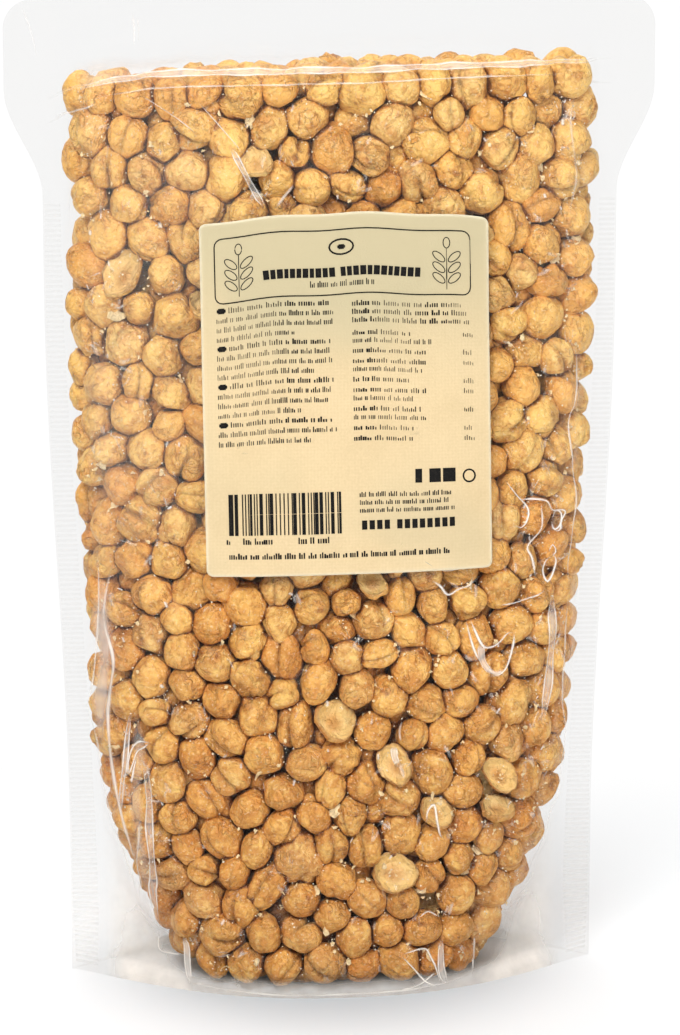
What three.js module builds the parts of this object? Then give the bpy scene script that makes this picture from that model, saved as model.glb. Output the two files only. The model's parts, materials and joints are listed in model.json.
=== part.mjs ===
// A stand-up pouch of clear film, packed tightly with roasted chickpeas, with a paper label on its front.
//
// Frame: millimetres, +Z up, the front faces -Y, and the origin is the middle of the base that it stands on.
// Each piece is a box grid whose columns and rows are laid over the piece's outline. Its front and back
// skins are then moved out to the depth of the piece at each column and row.

import * as THREE from 'three';

// Driving dimensions of the pouch
const HEIGHT = 284.4;            // base to top edge
const FLAT_WIDTH = 185;          // the empty flap above the contents
const SHOULDER_WIDTH = 164;      // outline just below the flap
const BASE_WIDTH = 153.5;        // outline at the base
const CORNER_RADIUS = 8.5;       // rounded top corners
const FLAP_THICKNESS = 0.8;      // the flap and the side seals, pressed flat
const SIDE_FLARE = [41, 201];    // heights over which the outline widens from base to shoulder
const SHOULDER = [229, 259];     // heights over which it widens again to the flat flap

// Driving dimensions of the filled body
const BODY_BASE_WIDTH = 136;     // between the side seals at the base
const BODY_TOP_WIDTH = 153;      // between the side seals near the top
const BASE_DEPTH = 68;           // front to back, low down
const TOP_DEPTH = 42;            // front to back, just under the top
const TAPER = [60, 263];         // heights over which the depth shrinks
const BODY_TOP = 269.2;          // where front and back film meet above the contents
const TOP_ROUNDING = 10;         // height of the rounded top
const SECTION_POWER = 2.3;       // 2 is an ellipse, more is boxier
const GUSSET_HEIGHT = 70;        // the pointed section of the base turns into the full one over this height
const BASE_POINT = 1.2;          // 1 brings the base to a corner at each side, more draws it out thinner
const SPLAY = 30;                // up to this height the seals part, and the body is wider by them
const LEAST_SEAL = 1;            // the narrowest that a side seal gets

// The contents press through the film as bumps, staggered from row to row
const PEA_PITCH = 11.5;          // from one chickpea to the next
const PEA_RELIEF = 1.9;          // how far the fullest of them stand out
const LEAST_RELIEF = 0.55;       // the flattest bump, as a share of the fullest
const PEA_SADDLE = 0.3;          // height between two rows, as a share of the fullest bump
const RELIEF_EDGE = 5;           // width over which the relief fades out at its borders
const CONTENTS_BASE_WIDTH = 84;  // the contents' rounded lower end
const CONTENTS_CORNER = 75;      // height of its rounded lower corners
const CONTENTS_CORNER_POWER = 2;
const CONTENTS_BOTTOM = 2.2;     // the skirt of film below the contents

// Label
const LABEL_WIDTH = 81.2;
const LABEL_HEIGHT = 99;
const LABEL_CENTRE = { x: 2.1, z: 174.5 };
const LABEL_TURN = THREE.MathUtils.degToRad(0.7);
const LABEL_SMOOTHING = 2;       // the film lies smooth up to this far outside the label
const LABEL_THICKNESS = 0.3;
const LABEL_GAP = 0.35;          // clearance to the film behind it

// Fineness of the grids. Two columns and two rows go to one chickpea.
const BODY_COLUMNS = 2 + 2 * Math.round(BODY_TOP_WIDTH / PEA_PITCH);
const BODY_ROWS = 2 * Math.round(BODY_TOP / (PEA_PITCH * Math.sin(Math.PI / 3)));
const FLAP_ROWS = 2;
const CORNER_ROWS = 4;
const LABEL_COLUMNS = 14;
const LABEL_ROWS = 14;
const COLUMN_CROWDING = 0.5;     // 0 spaces the columns evenly, 1 crowds them at the sides
const CORNER_SHARE = 0.999;      // the last row stops just short of the top, where the corner would be level

// Multipliers that mix a column, a row and a side into a number that looks random
const MIX = { column: 12.9898, row: 78.233, back: 37.719, all: 43758.5453 };

const { lerp, smoothstep } = THREE.MathUtils;

// Half of the outline's width at height z, with the side seals and the rounded top corners.
function outlineHalfWidth(z) {
  const flare = (SHOULDER_WIDTH - BASE_WIDTH) * smoothstep(z, ...SIDE_FLARE);
  const flap = (FLAT_WIDTH - SHOULDER_WIDTH) * smoothstep(z, ...SHOULDER);
  const intoCorner = Math.max(0, z - (HEIGHT - CORNER_RADIUS));
  const cornerCut = CORNER_RADIUS - Math.sqrt(CORNER_RADIUS ** 2 - intoCorner ** 2);
  return (BASE_WIDTH + flare + flap) / 2 - cornerCut;
}

// Half of the filled body's width at height z, between the side seals.
function bodyHalfWidth(z) {
  return lerp(BODY_BASE_WIDTH, BODY_TOP_WIDTH, smoothstep(z, 0, SHOULDER[0])) / 2;
}

// Half of the body's depth on its middle line at height z.
function bodyHalfDepth(z) {
  const taper = lerp(BASE_DEPTH, TOP_DEPTH, smoothstep(z, ...TAPER)) / 2;
  const intoTop = THREE.MathUtils.clamp((z - BODY_TOP) / TOP_ROUNDING + 1, 0, 1);
  return taper * Math.sqrt(1 - intoTop ** 2);
}

// Distance from the middle plane to the smooth film at x, z. Low down its section is a lens, at the base as
// wide as the outline.
function filmDepth(x, z) {
  const halfWidth = lerp(BASE_WIDTH / 2, bodyHalfWidth(z), smoothstep(z, 0, SPLAY));
  const across = Math.min(1, Math.abs(x) / halfWidth);
  const power = lerp(BASE_POINT, 1 / SECTION_POWER, smoothstep(z, 0, GUSSET_HEIGHT));
  return bodyHalfDepth(z) * (1 - across ** SECTION_POWER) ** power;
}

// Half of the contents' width at height z, with the rounded lower corners.
function contentsHalfWidth(z) {
  const up = THREE.MathUtils.clamp(z / CONTENTS_CORNER, 0, 1);
  return lerp(CONTENTS_BASE_WIDTH / 2, bodyHalfWidth(z), 1 - (1 - up) ** CONTENTS_CORNER_POWER);
}

// A point of the label's own frame, turned and placed on the front of the pouch.
function labelToFront(across, up) {
  return {
    x: LABEL_CENTRE.x + across * Math.cos(LABEL_TURN) - up * Math.sin(LABEL_TURN),
    z: LABEL_CENTRE.z + across * Math.sin(LABEL_TURN) + up * Math.cos(LABEL_TURN),
  };
}

// 1 where the chickpeas press through the film, and 0 outside the contents and under the label.
function reliefMask(x, z, isFront) {
  const side = smoothstep(contentsHalfWidth(z) - Math.abs(x), 0, RELIEF_EDGE);
  const ends = smoothstep(z - CONTENTS_BOTTOM, 0, RELIEF_EDGE) * smoothstep(BODY_TOP - z, 0, RELIEF_EDGE);
  const offLabelX = Math.abs(x - LABEL_CENTRE.x) - LABEL_WIDTH / 2;
  const offLabelZ = Math.abs(z - LABEL_CENTRE.z) - LABEL_HEIGHT / 2;
  const offLabel = Math.max(offLabelX, offLabelZ) - LABEL_SMOOTHING;
  return side * ends * (isFront ? smoothstep(offLabel, 0, RELIEF_EDGE) : 1);
}

// A fixed number from 0 to 1 for each column, row and side, that looks random.
function unevenness(column, row, isFront) {
  const mixed = Math.sin(column * MIX.column + row * MIX.row + (isFront ? 0 : MIX.back)) * MIX.all;
  return mixed - Math.floor(mixed);
}

// Height of the bump at one grid point: up to 1 on a chickpea, 0 beside it, and a saddle between two rows.
function peaBump(column, row, isFront) {
  if (row % 2 === 1) return PEA_SADDLE;
  const onPea = (column + row / 2) % 2 === 0;
  return onPea ? lerp(LEAST_RELIEF, 1, unevenness(column, row, isFront)) : 0;
}

// Height of each row of the pouch's grid: the body, the flap above it, and the round top corners.
function pouchRows() {
  const rows = [];
  for (let i = 0; i <= BODY_ROWS; i += 1) rows.push((BODY_TOP * i) / BODY_ROWS);
  const cornerStart = HEIGHT - CORNER_RADIUS;
  for (let i = 1; i <= FLAP_ROWS; i += 1) rows.push(lerp(BODY_TOP, cornerStart, i / FLAP_ROWS));
  for (let i = 1; i <= CORNER_ROWS; i += 1) {
    rows.push(cornerStart + CORNER_RADIUS * CORNER_SHARE * Math.sin((i / CORNER_ROWS) * (Math.PI / 2)));
  }
  return rows;
}

// Place across the pouch of one column at height z. The outermost column on each side is the seal.
function pouchColumn(column, z) {
  if (column === 0) return -outlineHalfWidth(z);
  if (column === BODY_COLUMNS) return outlineHalfWidth(z);
  const across = (2 * (column - 1)) / (BODY_COLUMNS - 2) - 1;
  const crowded = Math.sin((across * Math.PI) / 2);
  const narrowest = Math.min(bodyHalfWidth(z), outlineHalfWidth(z) - LEAST_SEAL);
  return narrowest * lerp(across, crowded, COLUMN_CROWDING);
}

// Moves every corner of a box grid: place(column, row, isFront) gives its new position.
function mapBoxGrid(columns, rows, place) {
  const geometry = new THREE.BoxGeometry(2, 2, 2, columns, 1, rows);
  const position = geometry.attributes.position;
  for (let i = 0; i < position.count; i += 1) {
    const column = Math.round(((position.getX(i) + 1) / 2) * columns);
    const row = Math.round(((position.getZ(i) + 1) / 2) * rows);
    const point = place(column, row, position.getY(i) < 0);
    position.setXYZ(i, point.x, point.y, point.z);
  }
  geometry.computeVertexNormals();
  return geometry;
}

// The filled pouch with its side seals and top flap, one closed solid standing on its flat base.
function pouchGeometry() {
  const rows = pouchRows();
  return mapBoxGrid(BODY_COLUMNS, rows.length - 1, (column, row, isFront) => {
    const z = rows[row];
    const x = pouchColumn(column, z);
    const relief = PEA_RELIEF * reliefMask(x, z, isFront) * peaBump(column, row, isFront);
    const depth = Math.max(FLAP_THICKNESS / 2, filmDepth(x, z) + relief);
    return { x, y: isFront ? -depth : depth, z };
  });
}

// The label, a sheet that follows the front of the pouch at a small clearance.
function labelGeometry() {
  return mapBoxGrid(LABEL_COLUMNS, LABEL_ROWS, (column, row, isFront) => {
    const across = LABEL_WIDTH * (column / LABEL_COLUMNS - 0.5);
    const up = LABEL_HEIGHT * (row / LABEL_ROWS - 0.5);
    const { x, z } = labelToFront(across, up);
    const clearance = LABEL_GAP + (isFront ? LABEL_THICKNESS : 0);
    return { x, y: -(filmDepth(x, z) + clearance), z };
  });
}

function namedMesh(name, geometry, color, roughness) {
  const mesh = new THREE.Mesh(geometry, new THREE.MeshStandardMaterial({ color, roughness, metalness: 0 }));
  mesh.name = name;
  return mesh;
}

const bagOfChickpeas = new THREE.Group();
bagOfChickpeas.add(namedMesh('filled_pouch', pouchGeometry(), 0xc99c5e, 0.35));
bagOfChickpeas.add(namedMesh('paper_label', labelGeometry(), 0xecdeb2, 0.7));

export default bagOfChickpeas;
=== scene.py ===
"""Looks of a clear stand-up pouch, packed tightly with roasted chickpeas, with a paper label on its front.

Lengths are in millimetres throughout, and become metres where a mesh is made. The pouch stands on z = 0, its
labelled front faces -Y, and x runs across it.
"""

import json
import logging
import math
from dataclasses import dataclass, field, replace
from enum import Enum
from typing import Any, Sequence

import bpy
import numpy as np
from mathutils import Matrix, Vector

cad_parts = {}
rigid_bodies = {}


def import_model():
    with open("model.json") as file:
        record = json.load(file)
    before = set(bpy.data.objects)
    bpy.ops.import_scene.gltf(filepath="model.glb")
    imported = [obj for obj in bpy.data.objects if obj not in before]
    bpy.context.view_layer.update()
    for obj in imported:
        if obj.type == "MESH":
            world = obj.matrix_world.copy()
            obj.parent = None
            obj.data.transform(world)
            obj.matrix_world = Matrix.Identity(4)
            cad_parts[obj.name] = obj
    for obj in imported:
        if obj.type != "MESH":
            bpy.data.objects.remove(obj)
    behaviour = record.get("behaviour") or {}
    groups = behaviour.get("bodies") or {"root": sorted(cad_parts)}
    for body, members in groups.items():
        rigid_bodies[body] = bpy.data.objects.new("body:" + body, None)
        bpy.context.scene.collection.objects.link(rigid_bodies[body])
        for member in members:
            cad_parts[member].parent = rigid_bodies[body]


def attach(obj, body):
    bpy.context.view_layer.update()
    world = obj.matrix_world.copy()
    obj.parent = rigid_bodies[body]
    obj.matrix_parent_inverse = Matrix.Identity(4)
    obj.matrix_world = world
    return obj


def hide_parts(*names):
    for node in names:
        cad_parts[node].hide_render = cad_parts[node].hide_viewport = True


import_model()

log = logging.getLogger("bag_of_chickpeas")
Array = np.ndarray
MM = 0.001


# ---------------------------------------------------------------- plain maths


def smoothstep(value: Array | float, low: float, high: float) -> Array:
    """Rise smoothly from 0 at low to 1 at high."""
    t = np.clip((np.asarray(value, dtype=float) - low) / (high - low), 0.0, 1.0)
    return t * t * (3.0 - 2.0 * t)


def mix(low: Array | float, high: Array | float, share: Array | float) -> Array:
    """Go from low at share 0 to high at share 1."""
    return low + (high - low) * share


def linear(red: int, green: int, blue: int) -> tuple[float, float, float, float]:
    """Turn a colour as a screen shows it, 0 to 255, into the linear colour that a shader takes."""
    def channel(value: int) -> float:
        """One part of the colour."""
        share = value / 255
        return share / 12.92 if share <= 0.04045 else ((share + 0.055) / 1.055) ** 2.4
    return channel(red), channel(green), channel(blue), 1.0


@dataclass
class WaveNoise:
    """Smooth seeded noise from -1 to 1, the sum of plane waves of about one wavelength."""

    seed: int
    wavelength: float
    waves: int = 14

    def __post_init__(self) -> None:
        """Draw the waves' directions, lengths and phases."""
        rng = np.random.default_rng(self.seed)
        direction = rng.normal(size=(self.waves, 3))
        direction /= np.linalg.norm(direction, axis=1, keepdims=True)
        length = self.wavelength * rng.uniform(0.7, 1.6, size=(self.waves, 1))
        self.wave = direction * (2 * np.pi / length)
        self.phase = rng.uniform(0, 2 * np.pi, size=self.waves)

    def __call__(self, points: Array) -> Array:
        """Sample the noise.

        Args:
            points: Places, one row of x, y, z each.

        Returns:
            One value for each place.
        """
        return np.sin(points @ self.wave.T + self.phase).sum(axis=-1) / math.sqrt(2 * self.waves)


# ---------------------------------------------------------------- meshes


@dataclass
class Mould:
    """Vertices, faces and per-vertex attributes of a mesh that is being put together."""

    vertices: Array
    faces: list[tuple[int, ...]]
    attributes: dict[str, Array] = field(default_factory=dict)

    def cast(self, name: str, scale: float = MM, smooth: bool = True) -> bpy.types.Object:
        """Make the mesh and an object for it, linked to the scene.

        Args:
            name: Name of the object.
            scale: Metres to one unit of the vertices.
            smooth: Whether the faces are shaded smooth.

        Returns:
            The new object, at the origin.
        """
        mesh = bpy.data.meshes.new(name)
        mesh.from_pydata((self.vertices * scale).tolist(), [], self.faces)
        for key, values in self.attributes.items():
            store(mesh, key, values)
        mesh.polygons.foreach_set("use_smooth", [smooth] * len(mesh.polygons))
        mesh.update()
        piece = bpy.data.objects.new(name, mesh)
        bpy.context.scene.collection.objects.link(piece)
        return piece


def store(mesh: bpy.types.Mesh, name: str, values: Array, kind: str = "FLOAT") -> None:
    """Hold a value at each vertex of a mesh.

    Args:
        mesh: The mesh.
        name: Name of the attribute.
        values: One number or vector for each vertex.
        kind: The attribute's type, FLOAT, INT or FLOAT_VECTOR.
    """
    numbers = np.asarray(values, dtype=np.int32 if kind == "INT" else np.float32).ravel()
    layer = mesh.attributes.new(name, kind, "POINT")
    layer.data.foreach_set("vector" if kind == "FLOAT_VECTOR" else "value", numbers)


def places_of(mesh: bpy.types.Mesh) -> Array:
    """The places of a mesh's vertices, in millimetres."""
    flat = np.empty(len(mesh.vertices) * 3, dtype=np.float32)
    mesh.vertices.foreach_get("co", flat)
    return flat.reshape(-1, 3) / MM


def grid_faces(rows: int, columns: int, flip: bool = False) -> list[tuple[int, ...]]:
    """Quads between the points of a grid that is stored row by row.

    Args:
        rows: Number of rows of points.
        columns: Number of points in a row.
        flip: Whether the faces look the other way.

    Returns:
        The quads as tuples of point numbers.
    """
    first = (np.arange(rows - 1)[:, None] * columns + np.arange(columns - 1)[None, :]).ravel()
    quads = np.stack([first, first + 1, first + 1 + columns, first + columns], axis=1)
    return [tuple(quad) for quad in (quads[:, ::-1] if flip else quads).tolist()]


def ring_faces(rings: int, count: int) -> list[tuple[int, ...]]:
    """Quads between closed rings of count points each, stored ring by ring."""
    here = np.arange((rings - 1) * count)
    after = here // count * count + (here + 1) % count
    return [tuple(quad) for quad in np.stack([here, after, after + count, here + count], axis=1).tolist()]


def tube_faces(rings: int, count: int) -> list[tuple[int, ...]]:
    """Quads between closed rings, and one face over each end."""
    return ring_faces(rings, count) + [tuple(range(count - 1, -1, -1)),
                                       tuple(range((rings - 1) * count, rings * count))]


def shell_faces(rings: int, count: int, flip: bool = False) -> list[tuple[int, ...]]:
    """Quads between closed rings, and a fan from each end ring to a point.

    Args:
        rings: Number of rings.
        count: Number of points in a ring. The two end points are stored after the rings.
        flip: Whether the faces look the other way.

    Returns:
        The faces as tuples of point numbers.
    """
    first, last = rings * count, (rings - 1) * count
    faces = ring_faces(rings, count)
    for here in range(count):
        after = (here + 1) % count
        faces += [(first, after, here), (first + 1, last + here, last + after)]
    return [face[:1] + face[:0:-1] for face in faces] if flip else faces


def join(moulds: Sequence[Mould]) -> Mould:
    """Put several moulds into one, keeping the attributes of the first."""
    vertices, faces, start = [], [], 0
    for mould in moulds:
        vertices.append(mould.vertices)
        faces += [tuple(corner + start for corner in face) for face in mould.faces]
        start += len(mould.vertices)
    keys = moulds[0].attributes
    attributes = {key: np.concatenate([mould.attributes[key] for mould in moulds]) for key in keys}
    return Mould(np.concatenate(vertices), faces, attributes)


# ---------------------------------------------------------------- node graphs


class Wire:
    """An output socket that takes part in Python arithmetic: each operator adds one Math node."""

    def __init__(self, graph: "Graph", socket: bpy.types.NodeSocket) -> None:
        """Take hold of one output socket."""
        self.graph = graph
        self.socket = socket

    def _math(self, operation: str, first: Any, second: Any) -> "Wire":
        """Add a Math node for one operation on two values or wires."""
        node = self.graph.node(self.graph.math_node, {"operation": operation}, {0: first, 1: second})
        return Wire(self.graph, node.outputs[0])

    def __add__(self, other: Any) -> "Wire":
        """The sum."""
        return self._math("ADD", self, other)

    __radd__ = __add__

    def __mul__(self, other: Any) -> "Wire":
        """The product."""
        return self._math("MULTIPLY", self, other)

    __rmul__ = __mul__

    def __sub__(self, other: Any) -> "Wire":
        """This less the other."""
        return self._math("SUBTRACT", self, other)

    def __rsub__(self, other: Any) -> "Wire":
        """The other less this."""
        return self._math("SUBTRACT", other, self)

    def __truediv__(self, other: Any) -> "Wire":
        """This over the other."""
        return self._math("DIVIDE", self, other)

    def __pow__(self, other: Any) -> "Wire":
        """This to the power of the other."""
        return self._math("POWER", self, other)

    def at_least(self, other: Any) -> "Wire":
        """The larger of the two."""
        return self._math("MAXIMUM", self, other)

    def at_most(self, other: Any) -> "Wire":
        """The smaller of the two."""
        return self._math("MINIMUM", self, other)

    def sine(self) -> "Wire":
        """The sine of the value."""
        return self._math("SINE", self, 0.0)

    def rise(self, low: float, high: float) -> "Wire":
        """Rise smoothly from 0 at low to 1 at high."""
        settings = {"interpolation_type": "SMOOTHSTEP"}
        node = self.graph.node("ShaderNodeMapRange", settings, {0: self, 1: low, 2: high, 3: 0.0, 4: 1.0})
        return Wire(self.graph, node.outputs[0])


class Graph:
    """A node tree that is written in Python."""

    math_node = "ShaderNodeMath"

    def __init__(self, tree: bpy.types.NodeTree) -> None:
        """Write into a tree."""
        self.tree = tree

    def node(self, kind: str, settings: dict[str, Any] | None = None,
             sockets: dict[Any, Any] | None = None) -> bpy.types.Node:
        """Add a node.

        Args:
            kind: The node's type.
            settings: Properties of the node, set first.
            sockets: Values or wires of its inputs, by name or number.

        Returns:
            The new node.
        """
        node = self.tree.nodes.new(kind)
        for key, value in (settings or {}).items():
            setattr(node, key, value)
        for key, value in (sockets or {}).items():
            if isinstance(value, Wire):
                self.tree.links.new(value.socket, node.inputs[key])
            elif isinstance(value, bpy.types.NodeSocket):
                self.tree.links.new(value, node.inputs[key])
            else:
                node.inputs[key].default_value = value
        return node

    def wire(self, kind: str, settings: dict[str, Any] | None = None, sockets: dict[Any, Any] | None = None,
             output: Any = 0) -> Wire:
        """Add a node and return one of its outputs as a wire."""
        return Wire(self, self.node(kind, settings, sockets).outputs[output])


class Finish(Graph):
    """A material that is written in Python, with the patterns that the finishes share."""

    def __init__(self, name: str) -> None:
        """Start an empty material."""
        self.material = bpy.data.materials.new(name)
        self.material.use_nodes = True
        super().__init__(self.material.node_tree)
        self.tree.nodes.clear()
        self.place = self.wire("ShaderNodeTexCoord", output="Object")

    def noise(self, per_metre: float, detail: float = 2.0, distortion: float = 0.0,
              at: Wire | None = None) -> Wire:
        """Noise from 0 to 1 with so many cells to the metre."""
        place = at or self.place
        sockets = {"Vector": place, "Scale": per_metre, "Detail": detail, "Distortion": distortion}
        return self.wire("ShaderNodeTexNoise", None, sockets, "Fac")

    def attribute(self, name: str) -> Wire:
        """A number that the mesh holds at each vertex."""
        return self.wire("ShaderNodeAttribute", {"attribute_name": name}, None, "Fac")

    def blend(self, share: Any, first: Any, second: Any) -> Wire:
        """Blend from the first colour at share 0 to the second at share 1."""
        return self.wire("ShaderNodeMix", {"data_type": "RGBA"}, {0: share, 6: first, 7: second}, 2)

    def bump(self, height: Wire, distance: float, strength: float = 1.0) -> Wire:
        """Turn a height from 0 to 1 into a normal. The distance is the height's size in metres."""
        return self.wire("ShaderNodeBump", None,
                         {"Height": height, "Distance": distance, "Strength": strength})

    def principled(self, **sockets: Any) -> Wire:
        """Add a Principled shader. Each keyword is a socket's name with _ for a blank."""
        named = {key.replace("_", " "): value for key, value in sockets.items()}
        return self.wire("ShaderNodeBsdfPrincipled", None, named)

    def finish(self, shader: Wire) -> bpy.types.Material:
        """Send the shader to the output and return the material."""
        self.node("ShaderNodeOutputMaterial", None, {"Surface": shader})
        return self.material


# ---------------------------------------------------------------- the pouch's form


class Side(Enum):
    """The two films of the pouch, each with the sign of its y."""

    FRONT = -1
    BACK = 1


@dataclass(frozen=True)
class PouchForm:
    """The outer form of the filled pouch, from the same driving dimensions as its solid."""

    height: float = 284.4
    flat_width: float = 185.0
    shoulder_width: float = 164.0
    base_width: float = 153.5
    corner_radius: float = 8.5
    side_flare: tuple[float, float] = (41.0, 201.0)
    shoulder: tuple[float, float] = (229.0, 259.0)
    body_base_width: float = 136.0
    body_top_width: float = 153.0
    base_depth: float = 68.0
    top_depth: float = 42.0
    taper: tuple[float, float] = (60.0, 263.0)
    body_top: float = 269.2
    top_rounding: float = 10.0
    section_power: float = 2.3
    gusset_height: float = 70.0
    base_point: float = 1.2
    splay: float = 30.0
    contents_base_width: float = 84.0
    contents_corner: float = 75.0
    contents_corner_power: float = 2.0
    contents_bottom: float = 2.2
    top_lean: float = 0.036

    def outline_half_width(self, z: Array) -> Array:
        """Half of the outline's width, with the side seals and the round top corners."""
        flare = (self.shoulder_width - self.base_width) * smoothstep(z, *self.side_flare)
        flap = (self.flat_width - self.shoulder_width) * smoothstep(z, *self.shoulder)
        into_corner = np.clip(z - (self.height - self.corner_radius), 0, self.corner_radius)
        cut = self.corner_radius - np.sqrt(self.corner_radius**2 - into_corner**2)
        return (self.base_width + flare + flap) / 2 - cut

    def body_half_width(self, z: Array) -> Array:
        """Half of the width between the side seals."""
        return mix(self.body_base_width, self.body_top_width, smoothstep(z, 0, self.shoulder[0])) / 2

    def body_half_depth(self, z: Array) -> Array:
        """Half of the filled body's depth on its middle line."""
        taper = mix(self.base_depth, self.top_depth, smoothstep(z, *self.taper)) / 2
        into_top = np.clip((z - self.body_top) / self.top_rounding + 1, 0, 1)
        return taper * np.sqrt(1 - into_top**2)

    def film_depth(self, x: Array, z: Array) -> Array:
        """Distance from the middle plane to the smooth film, a lens as wide as the outline low down."""
        half = mix(self.base_width / 2, self.body_half_width(z), smoothstep(z, 0, self.splay))
        across = np.clip(np.abs(x) / half, 0, 1)
        power = mix(self.base_point, 1 / self.section_power, smoothstep(z, 0, self.gusset_height))
        return self.body_half_depth(z) * (1 - across**self.section_power) ** power

    def contents_half_width(self, z: Array) -> Array:
        """Half of the contents' width, with their round lower corners."""
        up = np.clip(z / self.contents_corner, 0, 1)
        return mix(self.contents_base_width / 2, self.body_half_width(z),
                   1 - (1 - up) ** self.contents_corner_power)

    def contents_level(self, points: Array) -> Array:
        """Tell how far out a place lies: 0 on the contents' axis, 1 on their surface.

        Args:
            points: Places, one row of x, y, z each.

        Returns:
            One level for each place.
        """
        x, y, z = points.T
        base_round = np.sqrt(1 - np.clip(1 - (z - self.contents_bottom) / 6, 0, 0.6) ** 2)
        width = self.contents_half_width(z)
        depth = np.maximum(self.body_half_depth(z), 0.5) * base_round
        power = self.section_power
        return ((np.abs(x) / width) ** power + (np.abs(y) / depth) ** power) ** (1 / power)


# ---------------------------------------------------------------- packing the chickpeas


@dataclass
class Packing:
    """Settles round grains against each other and against the inside of the pouch."""

    form: PouchForm
    seed: int = 7
    grains: int = 1660
    radius: float = 5.5
    unevenness: float = 0.5
    sizes: tuple[float, float] = (4.4, 6.5)
    filled: float = 0.94
    batch: int = 4000
    wall: float = 0.3
    headroom: float = 3.8
    rounds: int = 360
    regroup: int = 10
    reach: float = 4.0
    push: float = 0.36
    pull: float = 0.06
    longest_step: float = 3.0
    shown_depth: float = 21.0
    top_layers: float = 34.0
    bottom_layer: float = 10.0

    def settle(self) -> tuple[Array, Array, Array, int]:
        """Pack the grains and keep those that can be seen from outside.

        Returns:
            The centres, the radii and the outward directions of the kept grains, those near the sides first,
            and how many these are. The others fill the middle of the top and of the base.
        """
        rng = np.random.default_rng(self.seed)
        centres = self._scatter(rng)
        radii = np.clip(rng.normal(self.radius, self.unevenness, self.grains), *self.sizes)
        for step in range(self.rounds):
            if step % self.regroup == 0:
                pairs = self._neighbours(centres, radii)
            self._push_apart(centres, radii, pairs)
            self._hold_inside(centres, radii)
        distance, outward = self._to_wall(centres)
        outer = distance < self.shown_depth
        top = centres[:, 2] > self.form.body_top - self.top_layers
        base = centres[:, 2] < self.form.contents_bottom + self.bottom_layer
        shown = np.concatenate([np.nonzero(outer)[0], np.nonzero((top | base) & ~outer)[0]])
        return centres[shown], radii[shown], outward[shown], int(outer.sum())

    def _scatter(self, rng: np.random.Generator) -> Array:
        """Throw the grains into the contents' volume at random."""
        low = np.array([-self.form.body_top_width / 2, -self.form.base_depth / 2, self.form.contents_bottom])
        high = np.array([self.form.body_top_width / 2, self.form.base_depth / 2, self.form.body_top - 2])
        kept: list[Array] = []
        while sum(map(len, kept)) < self.grains:
            thrown = rng.uniform(low, high, size=(self.batch, 3))
            kept.append(thrown[self.form.contents_level(thrown) < self.filled])
        return np.concatenate(kept)[: self.grains]

    def _neighbours(self, centres: Array, radii: Array) -> tuple[Array, Array]:
        """Find the pairs of grains that touch or nearly touch."""
        squares = (centres**2).sum(axis=1)
        apart = squares[:, None] + squares[None, :] - 2 * centres @ centres.T
        reach = radii[:, None] + radii[None, :] + self.reach
        return np.nonzero(np.triu(apart < reach**2, k=1))

    def _push_apart(self, centres: Array, radii: Array, pairs: tuple[Array, Array]) -> None:
        """Move each overlapping pair apart by part of its overlap."""
        first, second = pairs
        between = centres[second] - centres[first]
        length = np.linalg.norm(between, axis=1) + 1e-9
        overlap = np.clip(radii[first] + radii[second] - length, 0, None)
        shift = between * (self.push * overlap / length)[:, None]
        np.add.at(centres, first, -shift)
        np.add.at(centres, second, shift)

    def _to_wall(self, centres: Array) -> tuple[Array, Array]:
        """Distance from each centre to the pouch's wall, and the direction of the wall."""
        step = 0.2
        level = self.form.contents_level(centres)
        slope = np.stack([self.form.contents_level(centres + step * axis) - level for axis in np.eye(3)],
                         axis=1) / step
        steepness = np.linalg.norm(slope, axis=1) + 1e-6
        return (1 - level) / steepness, slope / steepness[:, None]

    def _hold_inside(self, centres: Array, radii: Array) -> None:
        """Bring the grains back inside the wall, and draw the outermost ones against it."""
        distance, outward = self._to_wall(centres)
        room = distance - radii - self.wall
        pulled = np.where(room < 0, room, np.where(room < self.radius, self.pull * room, 0))
        centres += outward * np.clip(pulled, -self.longest_step, self.longest_step)[:, None]
        floor = self.form.contents_bottom + radii
        ceiling = self.form.body_top - self.headroom + self.form.top_lean * centres[:, 0] - radii
        centres[:, 2] = np.clip(centres[:, 2], floor, ceiling)


# ---------------------------------------------------------------- chickpea shapes


class Kind(Enum):
    """The kinds of chickpea in the pouch, each with its share of them."""

    PLUMP = 0.22
    BEAKED = 0.23
    CLEFT = 0.24
    WRINKLED = 0.26
    SPLIT = 0.05


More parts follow.
